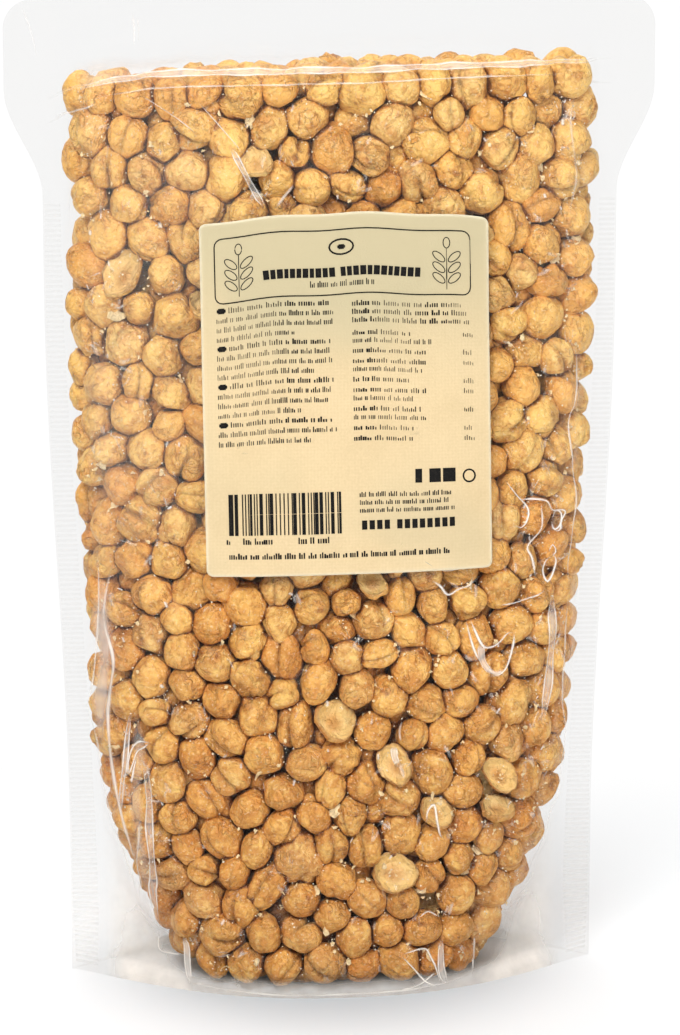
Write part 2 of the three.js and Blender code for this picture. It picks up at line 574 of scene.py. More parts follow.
@dataclass(frozen=True)
class PeaShape:
    """One chickpea of radius 1, its beak towards +X and the cleft between its halves in the plane y = 0."""

    seed: int
    beak: float
    cleft: float
    lumps: float
    wrinkles: float
    flats: int
    segments: int = 22
    latitudes: tuple[float, ...] = (0.0, 0.085, 0.2, 0.37, 0.6, 0.88, 1.2)

    def mould(self) -> Mould:
        """Shape the whole chickpea.

        Returns:
            The chickpea, with its creases in the attribute "crease".
        """
        rings = sorted({-latitude for latitude in self.latitudes} | set(self.latitudes))
        around = np.arange(self.segments) * (2 * np.pi / self.segments)
        latitude, longitude = (part.ravel() for part in np.meshgrid(rings, around, indexing="ij"))
        pole = np.pi / 2
        latitude = np.concatenate([latitude, [-pole, pole]])
        longitude = np.concatenate([longitude, [0.0, 0.0]])
        directions = np.stack([np.cos(latitude) * np.cos(longitude), np.sin(latitude),
                               np.cos(latitude) * np.sin(longitude)], axis=1)
        reach, crease = self._reach(directions, latitude, longitude)
        rng = np.random.default_rng(self.seed + 500)
        vertices = directions * reach[:, None] * rng.uniform([1.0, 0.86, 0.90], [1.14, 1.0, 1.03])
        faces = shell_faces(len(rings), self.segments, flip=True)
        return Mould(vertices, faces, {"crease": crease, "flesh": np.zeros(len(vertices))})

    def _reach(self, directions: Array, latitude: Array, longitude: Array) -> tuple[Array, Array]:
        """Distance of the skin from the middle in each direction, and how deep in a crease it lies."""
        rng = np.random.default_rng(self.seed)
        lump = WaveNoise(self.seed, 2.6)(directions)
        furrow = np.clip(1 - np.abs(WaveNoise(self.seed + 50, 1.7)(directions)) * 2.6, 0, 1)
        beak = np.exp(-((np.arccos(np.clip(directions[:, 0], -1, 1)) / 0.5) ** 2))
        turn = (longitude + np.pi) % (2 * np.pi) - np.pi
        length = np.exp(-(np.abs((turn - 1.1) / 1.35) ** 3)) + 0.4 * np.exp(-(((turn + 2.0) / 0.8) ** 2))
        bend = latitude - 0.1 * np.sin(turn * 2 + self.seed)
        valley = np.exp(-((bend / 0.26) ** 2)) * length
        slit = np.exp(-((bend / 0.08) ** 2)) * length
        lobes = np.exp(-(((np.abs(bend) - 0.62) / 0.36) ** 2)) * length
        reach = 1 + self.beak * beak + self.lumps * lump
        reach += self.cleft * (0.4 * lobes - 0.65 * valley - 0.45 * slit)
        reach -= self.wrinkles * furrow
        for _ in range(self.flats):
            towards = rng.normal(size=3)
            towards /= np.linalg.norm(towards)
            plane = rng.uniform(0.80, 0.93) / np.clip(directions @ towards, 1e-3, None)
            reach = np.where(plane < reach, mix(reach, plane, 0.85), reach)
        deep = slit * min(1.0, self.cleft * 7) + 0.2 * valley * min(1.0, self.cleft * 5)
        deep += self.wrinkles * 6 * np.clip(furrow - 0.4, 0, 1)
        return reach / reach.mean(), np.clip(deep, 0, 1)


@dataclass(frozen=True)
class SplitShape:
    """Half a chickpea of radius 1: a dome below and a pale hollowed face towards +Z."""

    seed: int
    hollow: float
    segments: int = 24

    def mould(self) -> Mould:
        """Shape the half.

        Returns:
            The half, with its pale inside in the attribute "flesh" and its rim in "crease".
        """
        dome = np.array([-1.2, -0.85, -0.55, -0.28, -0.08])
        face_radius = np.array([0.95, 0.86, 0.68, 0.44, 0.2])
        around = np.arange(self.segments) * (2 * np.pi / self.segments)
        radius = np.concatenate([np.cos(dome), face_radius])
        depth = np.concatenate([np.sin(dome) * 0.72, -self.hollow * np.array([-0.5, -0.1, 0.7, 1.0, 0.85])])
        flesh = np.concatenate([np.zeros(5), [0.25, 0.6, 0.66, 0.56, 0.45]])
        crease = np.concatenate([np.zeros(4), [0.35, 0.75, 0.1, 0.0, 0.3, 0.7]])
        ring, turn = np.meshgrid(np.arange(len(radius)), around, indexing="ij")
        ring, turn = ring.ravel(), turn.ravel()
        vertices = np.stack([radius[ring] * np.cos(turn) * 1.12, radius[ring] * np.sin(turn) * 0.86,
                             depth[ring]], axis=1)
        vertices = np.concatenate([vertices, [[0, 0, -0.74], [0, 0, -self.hollow * 0.6]]])
        vertices *= (1 + 0.14 * WaveNoise(self.seed, 1.2)(vertices)
                     + 0.06 * WaveNoise(self.seed + 60, 0.45)(vertices))[:, None]
        vertices[:, 2] += 0.07 * WaveNoise(self.seed + 70, 0.6)(vertices)
        attributes = {"crease": np.append(crease[ring], [0.0, 0.8]),
                      "flesh": np.append(flesh[ring], [0.0, 0.3])}
        return Mould(vertices, shell_faces(len(radius), self.segments), attributes)


@dataclass(frozen=True)
class CrumbShape:
    """A crumb or a grain of salt of radius 1: an eight-sided stone with its corners knocked about."""

    seed: int
    squash: float = 0.75

    def mould(self) -> Mould:
        """Shape the crumb."""
        rng = np.random.default_rng(self.seed)
        corners = np.concatenate([np.eye(3), -np.eye(3)]) * rng.uniform(0.65, 1.15, size=(6, 1))
        corners += rng.normal(scale=0.12, size=(6, 3))
        corners[:, 2] *= self.squash
        faces = [(0, 1, 2), (1, 3, 2), (3, 4, 2), (4, 0, 2), (1, 0, 5), (3, 1, 5), (4, 3, 5), (0, 4, 5)]
        return Mould(corners, faces, {"crease": np.zeros(6), "flesh": np.ones(6)})


@dataclass(frozen=True)
class SkinShape:
    """A loose papery skin, a thin curled scrap about 2 units across, as a closed shell."""

    seed: int
    cells: int = 5
    thickness: float = 0.03

    def mould(self) -> Mould:
        """Shape the scrap of skin."""
        rng = np.random.default_rng(self.seed)
        steps = np.linspace(-1, 1, self.cells + 1)
        across, along = (part.ravel() for part in np.meshgrid(steps, steps, indexing="ij"))
        ragged = 1 + 0.32 * WaveNoise(self.seed, 1.1)(np.stack([across, along, across * 0], axis=1))
        disc_x = across * np.sqrt(1 - along**2 / 2) * ragged
        disc_y = along * np.sqrt(1 - across**2 / 2) * ragged * rng.uniform(0.5, 0.8)
        ripple = WaveNoise(self.seed + 9, 0.8)(np.stack([disc_x, disc_y, disc_x * 0], axis=1))
        curl = 0.55 * (disc_x**2) - 0.25 * disc_y**2 + 0.08 * ripple
        top = np.stack([disc_x, disc_y, curl], axis=1)
        bottom = top - np.array([0, 0, self.thickness])
        count = self.cells + 1
        faces = grid_faces(count, count, flip=True)
        faces += [tuple(corner + count * count for corner in face) for face in grid_faces(count, count)]
        edge = ([(0, i) for i in range(count)] + [(i, count - 1) for i in range(1, count)]
                + [(count - 1, count - 1 - i) for i in range(1, count)]
                + [(count - 1 - i, 0) for i in range(1, count - 1)])
        rim = [row * count + column for row, column in edge]
        for here, after in zip(rim, rim[1:] + rim[:1]):
            faces.append((here, after, after + count * count, here + count * count))
        vertices = np.concatenate([top, bottom])
        return Mould(vertices, faces, {"crease": np.zeros(len(vertices)),
                                       "flesh": np.full(len(vertices), 0.9)})


# ---------------------------------------------------------------- scattering by Geometry Nodes


class PointTree(Graph):
    """A Geometry Nodes tree that lays meshes on points and joins them into one mesh of one material."""

    def __init__(self, name: str, inputs: dict[str, str]) -> None:
        """Args:
            name: Name of the tree.
            inputs: Socket types of its own inputs, by name.
        """
        super().__init__(bpy.data.node_groups.new(name, "GeometryNodeTree"))
        face = self.tree.interface
        face.new_socket(name="Geometry", in_out="OUTPUT", socket_type="NodeSocketGeometry")
        self.inputs = {}
        for key, kind in ({"Points": "NodeSocketGeometry"} | inputs
                          | {"Finish": "NodeSocketMaterial"}).items():
            self.inputs[key] = face.new_socket(name=key, in_out="INPUT", socket_type=kind).identifier
        self.given = self.node("NodeGroupInput").outputs
        real = self.wire("GeometryNodeRealizeInstances", None, {0: self._instances()})
        dressed = self.wire("GeometryNodeSetMaterial", None,
                            {"Geometry": real, "Material": self.given["Finish"]})
        self.node("NodeGroupOutput", None, {0: dressed})

    def _instances(self) -> Wire:
        """Wire the part that lays the meshes, unjoined."""
        raise NotImplementedError

    def _held(self, name: str, kind: str) -> Wire:
        """The value that each point holds under a name."""
        return self.wire("GeometryNodeInputNamedAttribute", {"data_type": kind}, {"Name": name})

    def _drawn(self, kind: str, low: Any, high: Any) -> Wire:
        """A random value for each point, from low to high."""
        number = ("FLOAT_VECTOR", "FLOAT", "INT").index(kind)
        sockets = {2 * number: low, 2 * number + 1: high, "Seed": self.given["Seed"]}
        return self.wire("FunctionNodeRandomValue", {"data_type": kind}, sockets, number)

    def _stored(self, laid: Wire, name: str, kind: str, value: Wire) -> Wire:
        """Store a value at each laid mesh."""
        return self.wire("GeometryNodeStoreNamedAttribute", {"data_type": kind, "domain": "INSTANCE"},
                         {"Geometry": laid, "Name": name, "Value": value})

    def grow(self, points: bpy.types.Object, values: dict[str, Any]) -> None:
        """Lay the meshes on the points, and keep the result as the points' plain mesh."""
        modifier = points.modifiers.new("laid on points", "NODES")
        modifier.node_group = self.tree
        for key, value in values.items():
            modifier[self.inputs[key]] = value
        settle(points)


class Scatter(PointTree):
    """Lays shapes on points, each turned, stretched and toned at random."""

    choices = 999

    def __init__(self) -> None:
        """Make the tree."""
        super().__init__("scatter shapes on points",
                         {"Shapes": "NodeSocketCollection", "Seed": "NodeSocketInt",
                          "Face outwards": "NodeSocketFloat", "Unevenness": "NodeSocketFloat"})

    def _instances(self) -> Wire:
        """Wire the part that lays the shapes."""
        wire, given = self.wire, self.given
        none, full, full_turn = (0.0,) * 3, (1.0,) * 3, (2 * math.pi,) * 3
        spun = wire("FunctionNodeEulerToRotation", None, {0: self._drawn("FLOAT_VECTOR", none, full_turn)})
        facing = wire("FunctionNodeAlignRotationToVector", {"axis": "Z"},
                      {"Rotation": spun, "Factor": given["Face outwards"],
                       "Vector": self._held("outward", "FLOAT_VECTOR")})
        spread = self._drawn("FLOAT_VECTOR", (-1.0,) * 3, full)
        stretch = wire("ShaderNodeVectorMath", {"operation": "MULTIPLY_ADD"},
                       {0: spread, 1: given["Unevenness"], 2: full})
        size = wire("ShaderNodeVectorMath", {"operation": "SCALE"},
                    {0: stretch, "Scale": self._held("radius", "FLOAT")})
        shapes = wire("GeometryNodeCollectionInfo", None,
                      {"Collection": given["Shapes"], "Separate Children": True, "Reset Children": True})
        laid = wire("GeometryNodeInstanceOnPoints", None,
                    {"Points": given["Points"], "Instance": shapes, "Pick Instance": True,
                     "Instance Index": self._drawn("INT", 0, self.choices),
                     "Rotation": facing, "Scale": size})
        toned = self._stored(laid, "tone", "FLOAT", self._drawn("FLOAT", 0.0, 1.0))
        return self._stored(toned, "grain", "INT", self._held("grain", "INT"))

    def lay(self, name: str, centres: Array, radii: Array, outward: Array, shapes: Sequence[Mould],
            finish: bpy.types.Material, seed: int, face_outwards: float = 0.0, unevenness: float = 0.05,
            smooth: bool = True) -> bpy.types.Object:
        """Lay shapes of radius 1 on points and join them into one piece.

        Args:
            name: Name of the piece.
            centres: Places in millimetres.
            radii: Sizes in millimetres.
            outward: Directions that a shape's +Z turns to where face_outwards is 1.
            shapes: The shapes to choose from.
            finish: The piece's material.
            seed: Seed of the random turns, sizes and choices.
            face_outwards: 0 turns a shape any way, and 1 turns its +Z outwards.
            unevenness: How much each of a shape's sizes varies.
            smooth: Whether the shapes are shaded smooth.

        Returns:
            The piece, a plain mesh.
        """
        points = Mould(centres, [], {"radius": radii * MM}).cast(name)
        store(points.data, "grain", np.arange(len(centres)), "INT")
        store(points.data, "outward", outward, "FLOAT_VECTOR")
        shelf = bpy.data.collections.new(name + " shapes")
        for number, mould in enumerate(shapes):
            shape = mould.cast(f"{name}_shape_{number:02d}", scale=1.0, smooth=smooth)
            bpy.context.scene.collection.objects.unlink(shape)
            shelf.objects.link(shape)
        self.grow(points, {"Shapes": shelf, "Seed": seed, "Face outwards": face_outwards,
                           "Unevenness": unevenness, "Finish": finish})
        for shape in list(shelf.objects):
            bpy.data.objects.remove(shape)
        bpy.data.collections.remove(shelf)
        return points


# ---------------------------------------------------------------- finishes


@dataclass(frozen=True)
class RoastedSkin:
    """Dry golden skin of a roasted chickpea, pale where split, with painted shade: browner in creases, where
    it touches its neighbours, deep in the heap and lower down the bag.
    """

    gold: tuple[float, ...] = linear(255, 206, 114)
    tan: tuple[float, ...] = linear(251, 188, 96)
    # toast is the roasted brown, and is also painted as shade where chickpeas touch and lower down the bag.
    toast_and_shade: tuple[float, ...] = linear(202, 118, 42)
    # crease is the dark brown painted as shade in the creases and where chickpeas touch.
    crease: tuple[float, ...] = linear(100, 45, 10)
    scorch: tuple[float, ...] = linear(128, 46, 16)
    flesh: tuple[float, ...] = linear(255, 219, 146)
    salt: tuple[float, ...] = linear(250, 238, 212)
    roughness: float = 0.38

    def material(self) -> bpy.types.Material:
        """Make the material."""
        made = Finish("roasted chickpea skin")
        tone, deep, flesh, contact = (made.attribute(name)
                                      for name in ("tone", "crease", "flesh", "contact"))
        patches = made.noise(125, 2.0, 0.5)
        mottle = made.noise(360, 3.0, 0.8)
        grain = made.noise(1500, 2.0)
        swell = made.noise(210, 2.0, 0.4)
        leather = made.noise(560, 3.0, 1.0)
        crack = (1 - ((made.noise(150, 2.0, 2.4) - 0.5) * 40) ** 2).at_least(0.0) * patches.rise(0.46, 0.60)
        colour = made.blend(tone.rise(0.0, 0.7), self.tan, self.gold)
        colour = made.blend(tone.rise(0.72, 1.0) * 0.45, colour, self.flesh)
        colour = made.blend((1 - tone.rise(0.0, 0.2)) * 0.35, colour, self.toast_and_shade)
        # Painted shade: the skin is browner lower down the bag, where less light falls.
        low = 1 - made.wire("ShaderNodeSeparateXYZ", None, {0: made.place}, 2).rise(0.0, 0.2)
        toasted_and_low_shade = (patches * 0.7 + mottle * 0.5 + leather * 0.25 + tone * 0.1 + low * 0.18).rise(0.66, 1.02)
        colour = made.blend(toasted_and_low_shade * 0.62, colour, self.toast_and_shade)
        colour = made.blend((leather + low * 0.04).rise(0.50, 0.70) * 0.34, colour, self.toast_and_shade)
        colour = made.blend((1 - leather.rise(0.30, 0.46)) * 0.32, colour, self.flesh)
        # Painted shade: browner where another chickpea is near and deep in the heap.
        colour = made.blend(contact.rise(0.25, 0.9) * 0.38, colour, self.toast_and_shade)
        # Painted shade: dark lines where chickpeas touch, deep in the heap, lower down the bag and in the
        # creases, along with the real cracks.
        lines = (contact + low * 0.09 - 0.04).rise(0.56, 0.97) * 0.88 + deep * 0.5 + crack * 0.12
        colour = made.blend(lines.at_most(0.92), colour, self.crease)
        spot = (made.noise(260, 1.0) * 0.8 + patches * 0.5).rise(0.81, 0.91)
        colour = made.blend(spot * 0.5, colour, self.scorch)
        colour = made.blend(grain.rise(0.60, 0.70) * 0.35, colour, self.salt)
        pale = made.blend(mottle.rise(0.46, 0.68) * 0.3, self.flesh, self.gold)
        pale = made.blend(deep * 0.7, pale, self.toast_and_shade)
        pale = made.blend(flesh.rise(0.84, 0.98), pale, self.salt)
        colour = made.blend((flesh * 1.6).at_most(1.0), colour, pale)
        relief = swell * 0.8 + mottle * 0.7 + leather * 0.42 + grain * 0.08 - crack * 0.18
        normal = made.bump(relief, 0.0019, 1.0)
        rough = mottle * 0.25 + (self.roughness - 0.12)
        return made.finish(made.principled(Base_Color=colour, Roughness=rough, Normal=normal,
                                           Specular_IOR_Level=0.36))


@dataclass(frozen=True)
class ClearFilm:
    """Clear glossy film, brighter at grazing angles and milky at its folds and where it stands off."""

    name: str = "clear pouch film"
    passed: tuple[float, ...] = (0.951, 0.951, 0.949, 1.0)
    milk: tuple[float, ...] = linear(250, 243, 234)
    least_gloss: float = 0.007
    edge_gloss: float = 0.28
    gloss_roughness: float = 0.18
    milk_roughness: float = 0.5
    wrinkle_depth: float = 0.0011

    def material(self) -> bpy.types.Material:
        """Make the material."""
        made = Finish(self.name)
        wrinkles = made.noise(75, 3.0, 1.2)
        folds = (1 - ((made.noise(48, 2.0, 0.8) - 0.5) * 9) ** 2).at_least(0.0)
        normal = made.bump(wrinkles * 0.7 + folds * 0.3, self.wrinkle_depth, 0.8)
        facing = made.wire("ShaderNodeLayerWeight", None, {"Blend": 0.5, "Normal": normal}, "Facing")
        gloss = (facing ** 4 * self.edge_gloss + self.least_gloss) * made.attribute("taut")
        haze = (made.attribute("haze") * (made.noise(160, 3.0) * 0.7 + 0.65)).at_most(0.95)
        shine = gloss * (1 - haze)
        cover = shine + haze
        metal = shine / cover.at_least(0.001)
        rough = metal * (self.gloss_roughness - self.milk_roughness) + self.milk_roughness
        clear = made.wire("ShaderNodeBsdfTransparent", None, {"Color": self.passed})
        film = made.principled(Base_Color=self.milk, Metallic=metal, Roughness=rough, Normal=normal)
        return made.finish(made.wire("ShaderNodeMixShader", None, {0: cover, 1: clear, 2: film}))


@dataclass(frozen=True)
class LabelPaper:
    """Uncoated cream paper with a fine woven grain, and a pale edge that is a painted highlight."""

    cream: tuple[float, ...] = linear(223, 198, 154)
    shade: tuple[float, ...] = linear(210, 185, 141)
    greyer_tone: tuple[float, ...] = linear(192, 178, 141)
    # cut is the pale colour painted along the edge as a highlight.
    cut: tuple[float, ...] = linear(240, 229, 200)
    weave: float = 6600.0

    def material(self) -> bpy.types.Material:
        """Make the material."""
        made = Finish("cream label paper")
        cloud = made.noise(60, 3.0)
        fibres = made.noise(1500, 3.0, 0.5)
        colour = made.blend((cloud * 0.6 + fibres * 0.5).rise(0.35, 0.85), self.cream, self.shade)
        across = made.wire("ShaderNodeSeparateXYZ", None, {0: made.place}, 0)
        height = made.wire("ShaderNodeSeparateXYZ", None, {0: made.place}, 2)
        threads = (across * self.weave).sine() + (height * self.weave).sine()
        colour = made.blend((threads * 0.13 + 0.13).at_least(0.0), colour, self.shade)
        # Greyer towards the top of the label and in broad patches.
        greyer_share = height.rise(0.17, 0.225) + made.noise(24, 1.0).rise(0.48, 0.68) * 0.4
        colour = made.blend(greyer_share.at_most(1.0), colour, self.greyer_tone)
        # Painted highlight: paler along the raised edge.
        colour = made.blend(made.attribute("edge") * 0.7, colour, self.cut)
        normal = made.bump(fibres + cloud * 0.3, 0.00012, 0.6)
        return made.finish(made.principled(Base_Color=colour, Roughness=fibres * 0.2 + 0.6, Normal=normal))


@dataclass(frozen=True)
class PrintInk:
    """Dark brown-grey ink, a little uneven on the paper's grain."""

    dark: tuple[float, ...] = linear(14, 12, 10)
    worn: tuple[float, ...] = linear(52, 46, 38)

    def material(self) -> bpy.types.Material:
        """Make the material."""
        made = Finish("label ink")
        colour = made.blend(made.noise(1800, 2.0).rise(0.5, 0.75) * 0.5, self.dark, self.worn)
        return made.finish(made.principled(Base_Color=colour, Roughness=made.noise(900, 2.0) * 0.2 + 0.65,
                                           Specular_IOR_Level=0.2))


@dataclass(frozen=True)
class DarkHeap:
    """The shaded inside of the heap, seen only through the gaps between chickpeas."""

    brown: tuple[float, ...] = linear(112, 60, 24)
    deep: tuple[float, ...] = linear(40, 19, 8)

    def material(self) -> bpy.types.Material:
        """Make the material."""
        made = Finish("shaded heap")
        lumps = made.noise(95, 3.0, 0.4)
        colour = made.blend(lumps.rise(0.4, 0.65), self.deep, self.brown)
        normal = made.bump(lumps, 0.003, 0.8)
        return made.finish(made.principled(Base_Color=colour, Roughness=lumps * 0.2 + 0.6, Normal=normal))


@dataclass(frozen=True)
class StudioFloor:
    """Matt white floor of the studio, with a painted grey shadow under the bag, glowing as bright as the
    wall behind it.
    """

    white: tuple[float, ...] = (0.855, 0.875, 0.89, 1.0)
    grey: tuple[float, ...] = (0.565, 0.628, 0.68, 1.0)
    dark: tuple[float, ...] = (0.0, 0.0, 0.0, 1.0)
    bright: tuple[float, ...] = (1.0, 1.0, 1.0, 1.0)
    glow: float = 1.01

    def material(self) -> bpy.types.Material:
        """Make the material."""
        made = Finish("studio floor")
        away = made.wire("ShaderNodeVectorMath", {"operation": "LENGTH"}, {0: made.place}, "Value")
        # Painted shadow: the floor is grey near the bag.
        colour = made.blend(away.rise(0.02, 0.085), self.grey, self.white)
        # Behind the bag the floor glows as bright as the wall, which also paints light over the bag's shadow
        # there.
        back = made.wire("ShaderNodeSeparateXYZ", None, {0: made.place}, 1).rise(0.02, 0.22)
        return made.finish(made.principled(Base_Color=made.blend(back, colour, self.dark), Roughness=0.8,
                                           Specular_IOR_Level=0.0,
                                           Emission_Color=made.blend(back, self.dark, self.bright),
                                           Emission_Strength=self.glow))


@dataclass(frozen=True)
class StudioWall:
    """Evenly lit white wall behind the bag."""

    white: tuple[float, ...] = (1.0, 1.0, 1.0, 1.0)
    glow: float = 1.01

    def material(self) -> bpy.types.Material:
        """Make the material."""
        made = Finish("studio wall")
        return made.finish(made.principled(Base_Color=(0.0, 0.0, 0.0, 1.0), Roughness=1.0,
                                           Specular_IOR_Level=0.0, Emission_Color=self.white,
                                           Emission_Strength=self.glow))


# ---------------------------------------------------------------- the film


@dataclass(frozen=True)
class Crease:
    """A sharp fold in the film along a smooth line across its face.

    The points are x and z in millimetres. The fold stands out by height over width to each side, and is
    milky by the share milk. A wide fold that is edged has a thin brighter line along both its sides.
    """

    points: tuple[tuple[float, float], ...]
    height: float = 0.4
    width: float = 0.35
    milk: float = 0.7
    edged: bool = False

    def path(self, steps: int = 24) -> Array:
        """Sample the line that runs smoothly through the points."""
        points = np.array(self.points, dtype=float)
        if len(points) == 2:
            share = np.linspace(0, 1, steps)[:, None]
            return points[0] * (1 - share) + points[1] * share
        ends = np.concatenate([[2 * points[0] - points[1]], points, [2 * points[-1] - points[-2]]])
        pieces = []
        for a, b, c, d in zip(ends, ends[1:], ends[2:], ends[3:]):
            t = np.linspace(0, 1, steps // 2, endpoint=False)[:, None]
            pieces.append(0.5 * (2 * b + (c - a) * t + (2 * a - 5 * b + 4 * c - d) * t**2
                                 + (3 * b - a - 3 * c + d) * t**3))
        return np.concatenate(pieces + [points[-1:]])


@dataclass
class SkinGrid:
    """The grid that each film is made on: rows at fixed heights, and columns that follow the outline."""

    form: PouchForm
    row_step: float = 0.96
    body_columns: int = 184
    seal_columns: int = 9
    crowding: float = 0.5

    def __post_init__(self) -> None:
        """Lay out the rows and the columns."""
        corner = self.form.height - self.form.corner_radius
        arc = np.sin(np.linspace(0, np.pi / 2, 12)[1:])
        self.rows = np.concatenate([np.arange(0, corner, self.row_step), [corner],
                                    corner + self.form.corner_radius * arc * 0.9995])
        steps = np.linspace(-1, 1, self.body_columns + 1)
        self.places = mix(steps, np.sin(steps * np.pi / 2), self.crowding)
        inner = self.form.body_half_width(self.rows)[:, None]
        outer = self.form.outline_half_width(self.rows)[:, None]
        seal = np.linspace(0, 1, self.seal_columns + 1)[None, 1:]
        inner = np.minimum(inner, outer - 1)
        right = mix(inner, outer, seal)
        self.x = np.concatenate([-right[:, ::-1], inner * self.places[None, :], right], axis=1)
        self.z = np.repeat(self.rows[:, None], self.x.shape[1], axis=1)

    def seal_share(self) -> Array:
        """Tell how far out in the side seals each point lies: 0 at the body and in it, 1 at the outline."""
        columns = np.arange(self.x.shape[1])
        from_edge = np.minimum(columns, self.x.shape[1] - 1 - columns)
        share = np.clip(1 - from_edge / self.seal_columns, 0, 1)
        return np.repeat(share[None, :], len(self.rows), axis=0)

    def index(self, x: Array, z: Array) -> tuple[Array, Array]:
        """Find the row and column, with fractions, of places on the film.

        Args:
            x: Places across the body.
            z: Heights.

        Returns:
            The row and column numbers.
        """
        row = np.interp(z, self.rows, np.arange(len(self.rows)))
        share = np.clip(x / self.form.body_half_width(z), -1, 1)
        column = np.interp(share, self.places, np.arange(len(self.places))) + self.seal_columns
        return row, column

    def sample(self, values: Array, x: Array, z: Array) -> Array:
        """Read a value that is held at each grid point, between the points as well."""
        row, column = self.index(x, z)
        row_0 = np.clip(row.astype(int), 0, values.shape[0] - 2)
        column_0 = np.clip(column.astype(int), 0, values.shape[1] - 2)
        up, right = row - row_0, column - column_0
        low = mix(values[row_0, column_0], values[row_0, column_0 + 1], right)
        high = mix(values[row_0 + 1, column_0], values[row_0 + 1, column_0 + 1], right)
        return mix(low, high, up)


